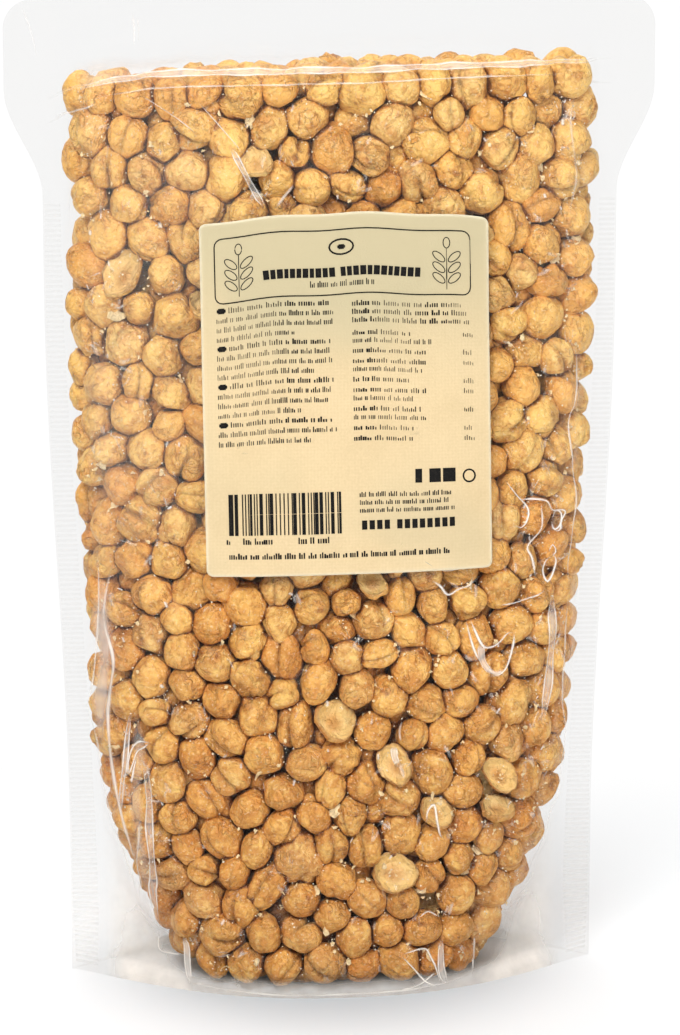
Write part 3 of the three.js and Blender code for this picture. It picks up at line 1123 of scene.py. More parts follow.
@dataclass
class FilmPanel:
    """One film of the pouch, drawn tight over the contents by the vacuum and bridged between them."""

    form: PouchForm
    grid: SkinGrid
    side: Side
    creases: tuple[Crease, ...] = ()
    clearance: float = 0.25
    sag: float = 0.05
    rounds: int = 420
    smoothing: int = 140
    tents: float = 0.3
    least_haze: float = 0.005
    flap_gap: float = 0.25
    flap_start: float = 275.2
    seal_slope: float = 0.5
    left_veil: float = 0.06
    right_veil: float = 0.02
    upper_veil: float = 0.012
    side_veil: tuple[float, float] = (0.03, 0.05)
    skirt_light_veil: float = 0.14
    low_skirt_light_veil: float = 0.2
    foot_light_veil: float = 0.32
    top_veil: float = 0.16
    gap_veil: float = 0.03
    seal_veil: float = 0.012
    bow: float = 1.1

    def drape(self, contents: Array, held: Array | None = None) -> None:
        """Lay the film over the contents.

        Args:
            contents: Vertices of all the contents.
            held: Places from 0 to 1 where the label holds the film smooth.
        """
        grid = self.grid
        pinned = (grid.seal_share() > self.seal_slope) | (grid.z >= self.flap_start) | (grid.z <= 0)
        rest = np.maximum(self.form.film_depth(grid.x, grid.z), self.flap_gap)
        stop = self._obstacle(contents)
        height = np.where(pinned, rest, np.maximum(stop, rest * 0.9))
        sag = self.sag * smoothstep(grid.z, 1, 8)
        for _ in range(self.rounds):
            free = np.maximum(self._average(height) - sag, self.flap_gap)
            height = np.where(pinned, rest, np.maximum(stop, free))
        if held is not None:
            smooth = height
            for _ in range(self.smoothing):
                smooth = np.where(pinned, rest, self._average(smooth))
            self.flat = smooth + float((height - smooth)[held >= 1].max()) + 0.1
            height = mix(height, self.flat, held)
        self.gap = np.clip(height - stop, 0, 4)
        self.held = held
        self.pinned = pinned
        self.height = height

    @staticmethod
    def _average(height: Array) -> Array:
        """Move each inner point to the average of its four neighbours."""
        mean = height.copy()
        mean[1:-1, 1:-1] = (height[2:, 1:-1] + height[:-2, 1:-1] + height[1:-1, 2:] + height[1:-1, :-2]) / 4
        return mean

    def _obstacle(self, contents: Array) -> Array:
        """Height of the contents under each grid point, each vertex widened to its neighbours."""
        grid = self.grid
        x, y, z = contents.T
        height = y * self.side.value + self.clearance
        near = height > self.form.film_depth(x, z) - 12
        x, z, height = x[near], z[near], height[near]
        row, column = grid.index(x, z)
        row, column = np.rint(row).astype(int), np.rint(column).astype(int)
        stop = np.full(grid.x.shape, -50.0)
        for down in (-1, 0, 1):
            for across in (-1, 0, 1):
                rows = np.clip(row + down, 0, stop.shape[0] - 1)
                columns = np.clip(column + across, 0, stop.shape[1] - 1)
                np.maximum.at(stop, (rows, columns), height)
        return stop

    def fold(self) -> None:
        """Add fine tents to the draped film, and work out how milky each place is, with milky veils at the
        skirt and the foot that paint light over the shadow seen through them.
        """
        grid = self.grid
        flat = np.stack([grid.x, grid.x * 0, grid.z], axis=-1).reshape(-1, 3)
        ridged = 1 - np.abs(WaveNoise(31 + self.side.value, 9.0, 20)(flat)).reshape(grid.x.shape) * 2.2
        free = np.where(self.pinned, 0, smoothstep(self.gap, 0.2, 1.6))
        free *= (1 - smoothstep(grid.z, 259, 265)) * (grid.seal_share() <= 0)
        self.height = self.height + self.tents * np.clip(ridged, 0, 1) * free
        cloud = WaveNoise(17, 60.0, 10)(flat).reshape(grid.x.shape)
        drift = np.clip(WaveNoise(19 + self.side.value, 26.0, 12)(flat).reshape(grid.x.shape) + 0.25, 0, 1)
        wide = np.abs(grid.x)
        veil = self.left_veil * smoothstep(-grid.x, 20, 66) + self.right_veil * smoothstep(grid.x, 40, 66)
        veil = veil * smoothstep(grid.z, 40, 200) + self.upper_veil * smoothstep(grid.z, 60, 240)
        veil *= 1 + 0.5 * cloud
        side = mix(*self.side_veil, smoothstep(-grid.x, 0, 10))
        veil += side * smoothstep(wide, 58, 70) * smoothstep(260 - grid.z, 10, 120)
        # Painted light: milky veils on the skirt beside the contents and at the foot, that lift the shadow
        # seen through the film there.
        beside = smoothstep(wide - self.form.contents_half_width(grid.z), -2, 5)
        veil += beside * (self.skirt_light_veil * (1 - smoothstep(grid.z, 25, 85))
                          + self.low_skirt_light_veil * (1 - smoothstep(grid.z, 6, 32)))
        veil += self.foot_light_veil * (1 - smoothstep(grid.z, 3, 5.5))
        above = smoothstep(grid.z - np.interp(grid.x, *TOP_FOLD), -1.0, 0.5)
        veil += self.top_veil * above * (1 - smoothstep(wide, 66, 74))
        to_seal = self.form.body_half_width(grid.z) - wide
        inside = smoothstep(to_seal, 0, 9) * (1 - smoothstep(grid.z, 262, 268))
        haze = (veil + self.gap_veil * free * drift) * inside
        least = mix(self.least_haze, self.seal_veil, grid.seal_share() > 0)
        wave = WaveNoise(11, 70.0, 8)(flat).reshape(grid.x.shape)
        self.wave = self.bow * wave * smoothstep(grid.z, self.form.body_top, self.form.height)
        self.taut = mix(0.25, 1.0, smoothstep(to_seal, -1, 6) * (1 - smoothstep(grid.z, 263, 269)))
        self.haze = np.clip(np.maximum(haze, least), 0, 1)

    def mould(self) -> Mould:
        """Make the film's mesh, open where it meets the other film at its edge."""
        grid = self.grid
        sign = self.side.value
        y = sign * self.height + self.wave
        vertices = np.stack([grid.x, y, grid.z], axis=-1).reshape(-1, 3)
        faces = grid_faces(*grid.x.shape, flip=self.side is Side.BACK)
        return Mould(vertices, faces, {"haze": self.haze.ravel(), "taut": self.taut.ravel()})


@dataclass
class Gusset:
    """The folded bottom film inside the skirt, pressed down by the contents."""

    form: PouchForm
    columns: int = 60
    rows: int = 24
    lift: float = 2.6

    def mould(self) -> Mould:
        """Make the gusset, a lens-shaped sheet whose rim meets both films at the base."""
        across = np.sin(np.linspace(-np.pi / 2, np.pi / 2, self.columns + 1))
        deep = np.linspace(-1, 1, self.rows + 1)
        half = self.form.base_width / 2
        x, share = np.meshgrid(across * half, deep, indexing="ij")
        depth = self.form.film_depth(x, np.zeros_like(x))
        inside = (1 - share**2) * smoothstep(depth, 0.0, 12.0)
        flat = np.stack([x, share * depth, x * 0], axis=-1).reshape(-1, 3)
        ripple = 0.35 * WaveNoise(5, 14.0)(flat).reshape(x.shape)
        z = 0.15 + np.clip(self.lift * np.sqrt(inside) + ripple * inside, 0, None)
        vertices = np.stack([x, share * np.maximum(depth, 0.05), z], axis=-1).reshape(-1, 3)
        return Mould(vertices, grid_faces(*x.shape, flip=True), {"haze": np.full(len(vertices), 0.02)})


@dataclass
class Folds:
    """Fine ridges of film on one panel: its pressed folds, short streaks between the chickpeas that are
    milky in part to paint highlights, and short milky marks that paint glints.
    """

    panel: FilmPanel
    seed: int = 3
    step: float = 0.7
    lift: float = 0.05
    section: tuple[tuple[float, float], ...] = ((-1.6, 0.0), (-1.1, 0.25), (-0.55, 0.85), (0.0, 1.0),
                                                (0.55, 0.85), (1.1, 0.25), (1.6, 0.0))
    edge_width: float = 0.24
    edge_milk: float = 0.75
    streak_groups: int = 230
    painted_glints: int = 90
    side_margin: float = 6.0

    def ribbon(self, crease: Crease, shift: float = 0.0) -> Mould:
        """Make the ridge of one fold.

        Args:
            crease: The fold.
            shift: How far to its side the ridge runs.

        Returns:
            A narrow sheet along it, raised in the middle and low at both ends.
        """
        rough = crease.path()
        along = np.concatenate([[0.0], np.cumsum(np.linalg.norm(np.diff(rough, axis=0), axis=1))])
        places = np.linspace(0, along[-1], max(5, int(along[-1] / self.step)))
        path = np.stack([np.interp(places, along, rough[:, 0]), np.interp(places, along, rough[:, 1])],
                        axis=1)
        slope = np.gradient(path, axis=0)
        slope /= np.linalg.norm(slope, axis=1, keepdims=True) + 1e-9
        across = np.stack([-slope[:, 1], slope[:, 0]], axis=1)
        share = places / along[-1]
        fade = np.clip(np.minimum(share, 1 - share) * 6, 0, 1)[:, None]
        vary = (0.85 + 0.15 * np.sin(places * 0.33 + path[0, 0]))[:, None]
        offset, rise = np.array(self.section).T
        aside = (offset * crease.width * (0.4 + 0.6 * fade) + shift * (0.3 + 0.7 * fade)) * vary
        x = path[:, :1] + across[:, :1] * aside
        z = path[:, 1:] + across[:, 1:] * aside
        panel = self.panel
        y = panel.side.value * (panel.grid.sample(panel.height, x, z) + self.lift
                                + crease.height * rise * fade)
        vertices = np.stack([x, y, z], axis=-1).reshape(-1, 3)
        haze = (crease.milk * rise * fade * vary).ravel()
        return Mould(vertices, grid_faces(*x.shape), {"haze": haze})

    def _gap_places(self, rng: np.random.Generator, count: int, low: float, high: float) -> Array:
        """Pick places, x and z, where the film stands off the contents by low to high."""
        panel = self.panel
        edge = panel.form.contents_half_width(panel.grid.z) - self.side_margin
        fits = (panel.gap > low) & (panel.gap < high) & ~panel.pinned
        fits &= (panel.grid.z < 256) & (np.abs(panel.grid.x) < edge)
        if panel.held is not None:
            fits &= panel.held <= 0
        rows, columns = np.nonzero(fits)
        pick = rng.choice(len(rows), size=count, replace=False)
        return np.stack([panel.grid.x[rows[pick], columns[pick]], panel.grid.z[rows[pick], columns[pick]]],
                        axis=1)

    def _streaks(self) -> list[Crease]:
        """Short thin folds in groups, mostly upright, over the gaps between chickpeas, milky in part to
        paint highlights, and short milky marks that paint glints.
        """
        rng = np.random.default_rng(self.seed)
        streaks = []
        for middle in self._gap_places(rng, self.streak_groups, 0.25, 3.5):
            lean = rng.normal(scale=0.5) + (math.pi / 2 if rng.random() < 0.2 else 0.0)
            for _ in range(int(rng.integers(1, 4))):
                tilt = lean + rng.normal(scale=0.2)
                half = rng.uniform(0.6, 2.3) * np.array([math.sin(tilt), math.cos(tilt)])
                start, end = middle - half, middle + half
                bend = middle + rng.normal(scale=0.4, size=2)
                streaks.append(Crease((tuple(start), tuple(bend), tuple(end)), 0.1, rng.uniform(0.14, 0.5),
                                      rng.uniform(0.08, 0.34)))
                middle = middle + np.array([rng.choice([-1, 1]) * rng.uniform(0.6, 1.3),
                                            rng.normal(scale=0.7)])
        # Painted glints: short milky marks that stand in for reflections of the lamps.
        for middle in self._gap_places(rng, self.painted_glints, 0.4, 2.5):
            tilt = rng.normal(scale=0.5)
            half = rng.uniform(0.4, 1.2) * np.array([math.sin(tilt), math.cos(tilt)])
            streaks.append(Crease((tuple(middle - half), tuple(middle + half)), 0.1, rng.uniform(0.2, 0.5),
                                  rng.uniform(0.35, 0.75)))
        return streaks

    def mould(self) -> Mould:
        """Make all the ridges of the panel."""
        ridges = [self.ribbon(crease) for crease in list(self.panel.creases) + self._streaks()]
        for crease in self.panel.creases:
            if crease.edged:
                line = replace(crease, width=self.edge_width, milk=self.edge_milk,
                               height=crease.height * 0.5)
                ridges += [self.ribbon(line, shift) for shift in (-crease.width, crease.width)]
        return join(ridges)


class Blocks(PointTree):
    """Lays one block on each point, with the size and the turn that the point holds."""

    def __init__(self) -> None:
        """Make the tree."""
        super().__init__("blocks on points", {"Block": "NodeSocketObject"})

    def _instances(self) -> Wire:
        """Wire the part that lays the blocks."""
        turn = self.wire("FunctionNodeEulerToRotation", None, {0: self._held("turn", "FLOAT_VECTOR")})
        block = self.wire("GeometryNodeObjectInfo", None,
                          {"Object": self.given["Block"], "As Instance": True}, "Geometry")
        return self.wire("GeometryNodeInstanceOnPoints", None,
                         {"Points": self.given["Points"], "Instance": block, "Rotation": turn,
                          "Scale": self._held("size", "FLOAT_VECTOR")})

    def lay(self, name: str, centres: Array, sizes: Array, turns: Array, block: Mould,
            finish: bpy.types.Material) -> bpy.types.Object:
        """Lay blocks and join them into one piece.

        Args:
            name: Name of the piece.
            centres: Middles of the blocks in millimetres.
            sizes: Width, height and thickness of each block in millimetres.
            turns: Euler angles of each block.
            block: The block's shape, 1 unit long each way.
            finish: The piece's material.

        Returns:
            The piece, a plain mesh.
        """
        points = Mould(centres, []).cast(name)
        for key, values in (("size", sizes * MM), ("turn", turns)):
            store(points.data, key, values, "FLOAT_VECTOR")
        shape = block.cast(name + "_block", scale=1.0, smooth=False)
        self.grow(points, {"Block": shape, "Finish": finish})
        bpy.data.objects.remove(shape)
        return points


def settle(piece: bpy.types.Object) -> None:
    """Turn what a piece's modifiers make into its plain mesh, and take the modifiers away."""
    graph = bpy.context.evaluated_depsgraph_get()
    mesh = bpy.data.meshes.new_from_object(piece.evaluated_get(graph), preserve_all_data_layers=True,
                                           depsgraph=graph)
    piece.modifiers.clear()
    old, piece.data = piece.data, mesh
    bpy.data.meshes.remove(old)
    mesh.name = piece.name


def prism(sides: int) -> Mould:
    """Make a prism that is 1 unit long in x and 1 unit wide and high, with so many sides."""
    turn = (np.arange(sides) + 0.5) * (2 * np.pi / sides)
    ring = np.stack([np.cos(turn), np.sin(turn)], axis=1)
    ring /= 2 * np.abs(ring).max()
    vertices = np.array([(x, y, z) for x in (-0.5, 0.5) for y, z in ring])
    return Mould(vertices, tube_faces(2, sides))


@dataclass
class SealRibs:
    """The fine ribs that the sealing bars press across both side seals."""

    form: PouchForm
    pitch: float = 1.45
    inset: float = 0.5
    rise: float = 0.3
    thick: float = 0.9
    longest: float = 8.5
    top: float = 227.0
    milk: tuple[float, float] = (0.07, 0.012)
    clear_height: float = 80.0

    def build(self, blocks: Blocks, finish: bpy.types.Material) -> bpy.types.Object:
        """Make all the ribs as one piece, milky near the base and faint above.

        Args:
            blocks: The tree that lays them.
            finish: The film's material.

        Returns:
            The piece.
        """
        z = np.arange(2 * self.pitch, self.top, self.pitch)
        inner = self.form.body_half_width(z) + self.inset
        outer = np.minimum(self.form.outline_half_width(z) - self.inset, inner + self.longest)
        near, far = self.form.film_depth(inner, z), self.form.film_depth(outer, z)
        right = np.stack([(inner + outer) / 2, -(near + far) / 2, z], axis=1)
        centres = np.concatenate([right, right * np.array([-1, 1, 1])])
        length = np.concatenate([outer - inner, outer - inner])
        sizes = np.stack([length, np.full_like(length, self.thick), np.full_like(length, self.rise)], axis=1)
        lean = np.arctan2(near - far, outer - inner)
        turns = np.stack([np.full_like(length, math.pi / 2), length * 0, np.concatenate([lean, -lean])],
                         axis=1)
        ribs = blocks.lay("side_seal_ribs", centres, sizes, turns, prism(6), finish)
        heights = places_of(ribs.data)[:, 2]
        store(ribs.data, "haze", mix(*self.milk, smoothstep(heights, 0, self.clear_height)))
        return ribs


# ---------------------------------------------------------------- the contents


@dataclass
class Contents:
    """The roasted chickpeas, whole and split, over a dark core."""

    form: PouchForm
    scatter: Scatter
    seed: int = 21
    fullness: tuple[float, float] = (1.045, 1.095)
    inner_fullness: float = 1.17
    neighbours: int = 14
    contact_shade_reach: float = 1.1
    tilt: float = 0.45
    split_tilt: float = 0.5
    split_margin: float = 13.0
    split_out: float = 3.8
    split_lift: float = 0.8
    sunk: tuple[float, float] = (5.0, 10.5)
    sunk_shade: float = 0.92

    def build(self, finish: bpy.types.Material) -> list[bpy.types.Object]:
        """Pack the chickpeas and make one piece of each kind.

        Args:
            finish: The chickpeas' material.

        Returns:
            The pieces.
        """
        centres, radii, outward, outer = Packing(self.form).settle()
        depth = (1 - self.form.contents_level(centres)) * self.form.body_half_depth(centres[:, 2])
        behind = depth > 2.0 * radii
        radii = radii * np.where(behind, self.inner_fullness,
                                 mix(*self.fullness, smoothstep(centres[:, 2], 60, 220)))
        log.info("packed %d chickpeas that can be seen", len(centres))
        rng = np.random.default_rng(self.seed)
        kinds = rng.choice(len(Kind), size=outer, p=[kind.value for kind in Kind])
        kinds = np.concatenate([kinds, np.arange(len(centres) - outer) % 3])
        to_side = self.form.contents_half_width(centres[:, 2]) - np.abs(centres[:, 0])
        to_end = np.minimum(centres[:, 2], self.form.body_top - centres[:, 2])
        cramped = (kinds == len(Kind) - 1) & (np.minimum(to_side, to_end) < self.split_margin)
        kinds = np.where(cramped, 0, kinds)
        pieces = []
        for number, kind in enumerate(Kind):
            mine = np.nonzero(kinds == number)[0]
            split = kind is Kind.SPLIT
            noise = np.zeros((len(mine), 3))
            noise[mine < outer] = rng.normal(scale=self.tilt, size=((mine < outer).sum(), 3))
            noise *= self.split_tilt if split else 1.0
            tilt = outward[mine] + noise
            tilt[:, 2] += self.split_lift * split
            place = centres[mine] + (outward[mine] * self.split_out if split else 0)
            piece = self.scatter.lay(f"chickpeas_{kind.name.lower()}", place, radii[mine], tilt,
                                     self._shapes(kind), finish, seed=self.seed + number,
                                     face_outwards={Kind.SPLIT: 0.85, Kind.CLEFT: 0.55}.get(kind, 0.0),
                                     unevenness=0.08 if kind is Kind.PLUMP else 0.13)
            self._mark_contact_shade(piece, mine, centres, radii)
            pieces.append(piece)
        return pieces

    def _mark_contact_shade(self, piece: bpy.types.Object, mine: Array, centres: Array, radii: Array) -> None:
        """Store how near another chickpea, or how deep in the heap, each point of the skin is, as the
        painted shade that darkens its skin.

        Args:
            piece: Chickpeas of one kind.
            mine: Numbers of these chickpeas among all of them.
            centres: Places of all chickpeas.
            radii: Sizes of all chickpeas.
        """
        mesh = piece.data
        own = np.empty(len(mesh.vertices), dtype=np.int32)
        mesh.attributes["grain"].data.foreach_get("value", own)
        places = places_of(mesh)
        apart = np.linalg.norm(centres[mine][:, None] - centres[None], axis=2) - radii[None]
        apart[np.arange(len(mine)), mine] = np.inf
        near = np.argpartition(apart, self.neighbours, axis=1)[:, : self.neighbours][own]
        gap = np.linalg.norm(places[:, None] - centres[near], axis=2) - radii[near]
        # Painted shade: darker where another chickpea is near, and deeper in the heap.
        contact = np.exp(-np.clip(gap.min(axis=1), 0, None) / self.contact_shade_reach)
        depth = (1 - self.form.contents_level(places)) * self.form.body_half_depth(places[:, 2])
        below_top = smoothstep(self.form.body_top - places[:, 2], 8, 22)
        contact = np.maximum(contact, self.sunk_shade * smoothstep(depth, *self.sunk) * below_top)
        store(mesh, "contact", contact)
        mesh.attributes.remove(mesh.attributes["grain"])

    @staticmethod
    def _shapes(kind: Kind) -> list[Mould]:
        """Shapes of one kind to choose from."""
        if kind is Kind.SPLIT:
            hollows = ((1, 0.22), (2, 0.36), (3, 0.46), (4, 0.28), (5, 0.40))
            return [SplitShape(seed, hollow).mould() for seed, hollow in hollows]
        shapes = {
            Kind.PLUMP: [PeaShape(seed, 0.10, 0.10, 0.06, 0.04, 6) for seed in range(10, 18)],
            Kind.BEAKED: [PeaShape(seed, 0.24, 0.16, 0.07, 0.06, 6) for seed in range(20, 28)],
            Kind.CLEFT: [PeaShape(seed, 0.12, 0.32, 0.06, 0.05, 5) for seed in range(30, 39)],
            Kind.WRINKLED: [PeaShape(seed, 0.12, 0.22, 0.10, 0.15, 7) for seed in range(40, 49)],
        }
        return [shape.mould() for shape in shapes[kind]]


@dataclass
class Core:
    """The inside of the heap, a lumpy body painted dark as shade, that closes the view through it."""

    form: PouchForm
    margin: float = 20.0
    bottom: float = 14.0
    top: float = 230.0
    rows: int = 70
    segments: int = 72
    relief: float = 1.6

    def mould(self) -> Mould:
        """Make the core as rings up the pouch, closed at both ends."""
        z = np.linspace(self.bottom, self.top, self.rows + 1)
        turn = np.arange(self.segments) * (2 * np.pi / self.segments)
        width = np.maximum(self.form.contents_half_width(z) - self.margin, 6)
        depth = np.maximum(self.form.body_half_depth(z) - self.margin, 4)
        power = 2 / self.form.section_power
        across = np.sign(np.cos(turn)) * np.abs(np.cos(turn)) ** power
        deep = np.sign(np.sin(turn)) * np.abs(np.sin(turn)) ** power
        x = width[:, None] * across[None, :]
        y = depth[:, None] * deep[None, :]
        height = np.repeat(z[:, None], self.segments, axis=1)
        vertices = np.stack([x, y, height], axis=-1).reshape(-1, 3)
        lumps = WaveNoise(77, 11.0)(vertices) * self.relief
        middle = np.stack([vertices[:, 0] * 0, vertices[:, 1] * 0, vertices[:, 2]], axis=1)
        away = vertices - middle
        vertices = vertices + away / (np.linalg.norm(away, axis=1, keepdims=True) + 1e-6) * lumps[:, None]
        return Mould(vertices, tube_faces(self.rows + 1, self.segments))


# ---------------------------------------------------------------- the label


@dataclass(frozen=True)
class Stroke:
    """One straight printed line on the label, between two places in millimetres from the label's middle."""

    start: tuple[float, float]
    end: tuple[float, float]
    weight: float


@dataclass
class LabelPrint:
    """The plain marks on the label: a framed heading with sprigs, rows of ticks, stripes and bars."""

    seed: int = 4
    ink: list[Stroke] = field(default_factory=list)

    def draw(self) -> list[Stroke]:
        """Draw everything and return the strokes."""
        rng = np.random.default_rng(self.seed)
        self._frame()
        self._heading(rng)
        self._left_block(rng)
        self._right_block(rng)
        self._stripes(rng)
        self._foot(rng)
        return self.ink

    def _line(self, start: tuple[float, float], end: tuple[float, float], weight: float,
              longest: float = 3.5) -> None:
        """Draw a straight line, in pieces short enough to follow the label's waves."""
        count = max(1, math.ceil(math.dist(start, end) / longest))
        corner = [(mix(start[0], end[0], n / count), mix(start[1], end[1], n / count))
                  for n in range(count + 1)]
        self.ink += [Stroke(a, b, weight) for a, b in zip(corner, corner[1:])]

    def _loop(self, points: Sequence[tuple[float, float]], weight: float) -> None:
        """Draw a closed line through points."""
        for start, end in zip(points, list(points[1:]) + [points[0]]):
            self._line(start, end, weight)

    def _oval(self, centre: tuple[float, float], radius: tuple[float, float], weight: float,
              turn: float = 0.0) -> None:
        """Draw an oval ring."""
        points = []
        for angle in np.linspace(0, 2 * np.pi, 16, endpoint=False):
            x, y = radius[0] * math.cos(angle), radius[1] * math.sin(angle)
            points.append((centre[0] + x * math.cos(turn) - y * math.sin(turn),
                           centre[1] + x * math.sin(turn) + y * math.cos(turn)))
        self._loop(points, weight)

    def _dot(self, centre: tuple[float, float], size: tuple[float, float], rows: int = 5) -> None:
        """Draw a filled oval out of short lines."""
        for level in (np.arange(rows) + 0.5) / rows * 2 - 1:
            half = size[0] / 2 * math.sqrt(1 - level**2 * 0.9)
            y = centre[1] + level * size[1] / 2
            self._line((centre[0] - half, y), (centre[0] + half, y), size[1] / rows * 1.1)

    def _ticks(self, rng: np.random.Generator, left: float, low: float, width: float, height: float,
               bold: bool = False) -> None:
        """Draw a row of upright ticks in groups, a plain stand-in for a line of small print."""
        weight, pitch = (0.42, 0.64) if bold else (0.28, 0.52)
        x, group = left, int(rng.integers(3, 9))
        while x < left + width - pitch:
            if group == 0:
                x += pitch * 1.1
                group = int(rng.integers(2, 10))
                continue
            tall = height * rng.choice([1.0, 0.72, 0.72, 0.72, 0.5])
            self.ink.append(Stroke((x, low), (x, low + tall), weight * rng.uniform(0.8, 1.3)))
            x += pitch * rng.uniform(0.85, 1.15)
            group -= 1

    def _frame(self) -> None:
        """A thin frame with round corners at the top of the label."""
        half_x, half_y, radius, middle = 35.9, 9.0, 2.2, 35.9
        points = []
        for number, (side_x, side_y) in enumerate(((1, -1), (1, 1), (-1, 1), (-1, -1))):
            start = -np.pi / 2 + number * np.pi / 2
            for angle in np.linspace(start, start + np.pi / 2, 5):
                points.append((side_x * (half_x - radius) + radius * math.cos(angle) - 0.6,
                               middle + side_y * (half_y - radius) + radius * math.sin(angle)))
        self._loop(points, 0.34)

    def _heading(self, rng: np.random.Generator) -> None:
        """A row of bold blocks over a row of thin ticks, a ringed dot above, and a sprig on each side."""
        x = -23.0
        while x < 19.8:
            wide = rng.uniform(1.0, 1.6)
            self._line((x, 33.2), (x + wide, 33.2), 2.6)
            x += wide + (1.7 if abs(x + 4) < 1.1 else 0.5)
        self._ticks(rng, -9.8, 29.2, 18.4, 1.7)
        self._oval((-1.0, 40.1), (3.4, 2.1), 0.5)
        self._dot((-1.0, 40.1), (2.2, 1.3))
        for side in (-1, 1):
            x = side * 29.2 - 0.6
            self._line((x, 28.4), (x, 40.0), 0.3)
            for level in (30.4, 33.4, 36.4):
                for lean in (-1, 1):
                    self._oval((x + lean * 2.2, level + 1.2), (2.1, 0.95), 0.26, lean * 0.7)
            self._oval((x, 41.5), (0.95, 1.5), 0.26)

    def _left_block(self, rng: np.random.Generator) -> None:
        """Four paragraphs of ticks, each started by a bold row with an oval mark."""
        for line in range(15):
            low = 24.2 - line * 2.67
            bold = line in (0, 4, 8, 12)
            start = -36.2 + (3.4 if bold else 0.0)
            if bold:
                self._dot((-34.9, low + 0.65), (2.5, 1.5))
            short = rng.uniform(5, 12) if line in (3, 7, 11, 14) else 0.0
            width = rng.uniform(31.8, 33.6) - (3.4 if bold else 0.0) - short
            self._ticks(rng, start, low, width, 1.45, bold)

    def _right_block(self, rng: np.random.Generator) -> None:
        """Three bold rows over a small table, with short groups of ticks at its right edge."""
        left, right, low = 1.8, 36.8, 23.4
        for _ in range(3):
            self._ticks(rng, left, low, rng.uniform(27, 34), 1.4, bold=True)
            low -= 2.3
        low -= 1.2
        for lines in (2, 1, 2, 1, 2, 2, 1, 1):
            for line in range(lines):
                self._ticks(rng, left, low, rng.uniform(16, 25), 1.3, bold=line == 0)
                if line == 0:
                    self._ticks(rng, right - 3.6, low, 3.6, 1.3, bold=True)
                low -= 2.25
            low -= 0.55

    def _stripes(self, rng: np.random.Generator) -> None:
        """A block of upright stripes of uneven width over short rows of ticks."""
        x = -33.9
        while x < -2.6:
            width = float(rng.choice([0.33, 0.33, 0.66, 0.99]))
            self._line((x, -37.9), (x, -26.4), width, longest=6.0)
            x += width + float(rng.choice([0.33, 0.4, 0.5, 0.8]))
        for start, width in ((-34.6, 1.4), (-30.0, 9.5), (-14.5, 9.5)):
            self._ticks(rng, start, -40.4, width, 1.7, bold=True)

    def _foot(self, rng: np.random.Generator) -> None:
        """Bold bars and a ring at the lower right, small rows under them, and a last row along the edge."""
        for start, end in ((18.8, 20.6), (22.8, 26.0), (26.7, 30.2)):
            self._line((start, -22.8), (end, -22.8), 3.9)
        self._oval((34.2, -23.2), (1.7, 1.7), 0.5)
        for line in range(3):
            self._ticks(rng, 3.0, -28.2 - line * 2.1, rng.uniform(25, 29), 1.3)
        for start, count in ((3.4, 4), (13.4, 8)):
            for place in range(count):
                self._line((start + place * 2.15, -35.8), (start + place * 2.15 + 1.4, -35.8), 2.6)
        self._ticks(rng, -34.0, -44.6, 63.0, 1.6, bold=True)


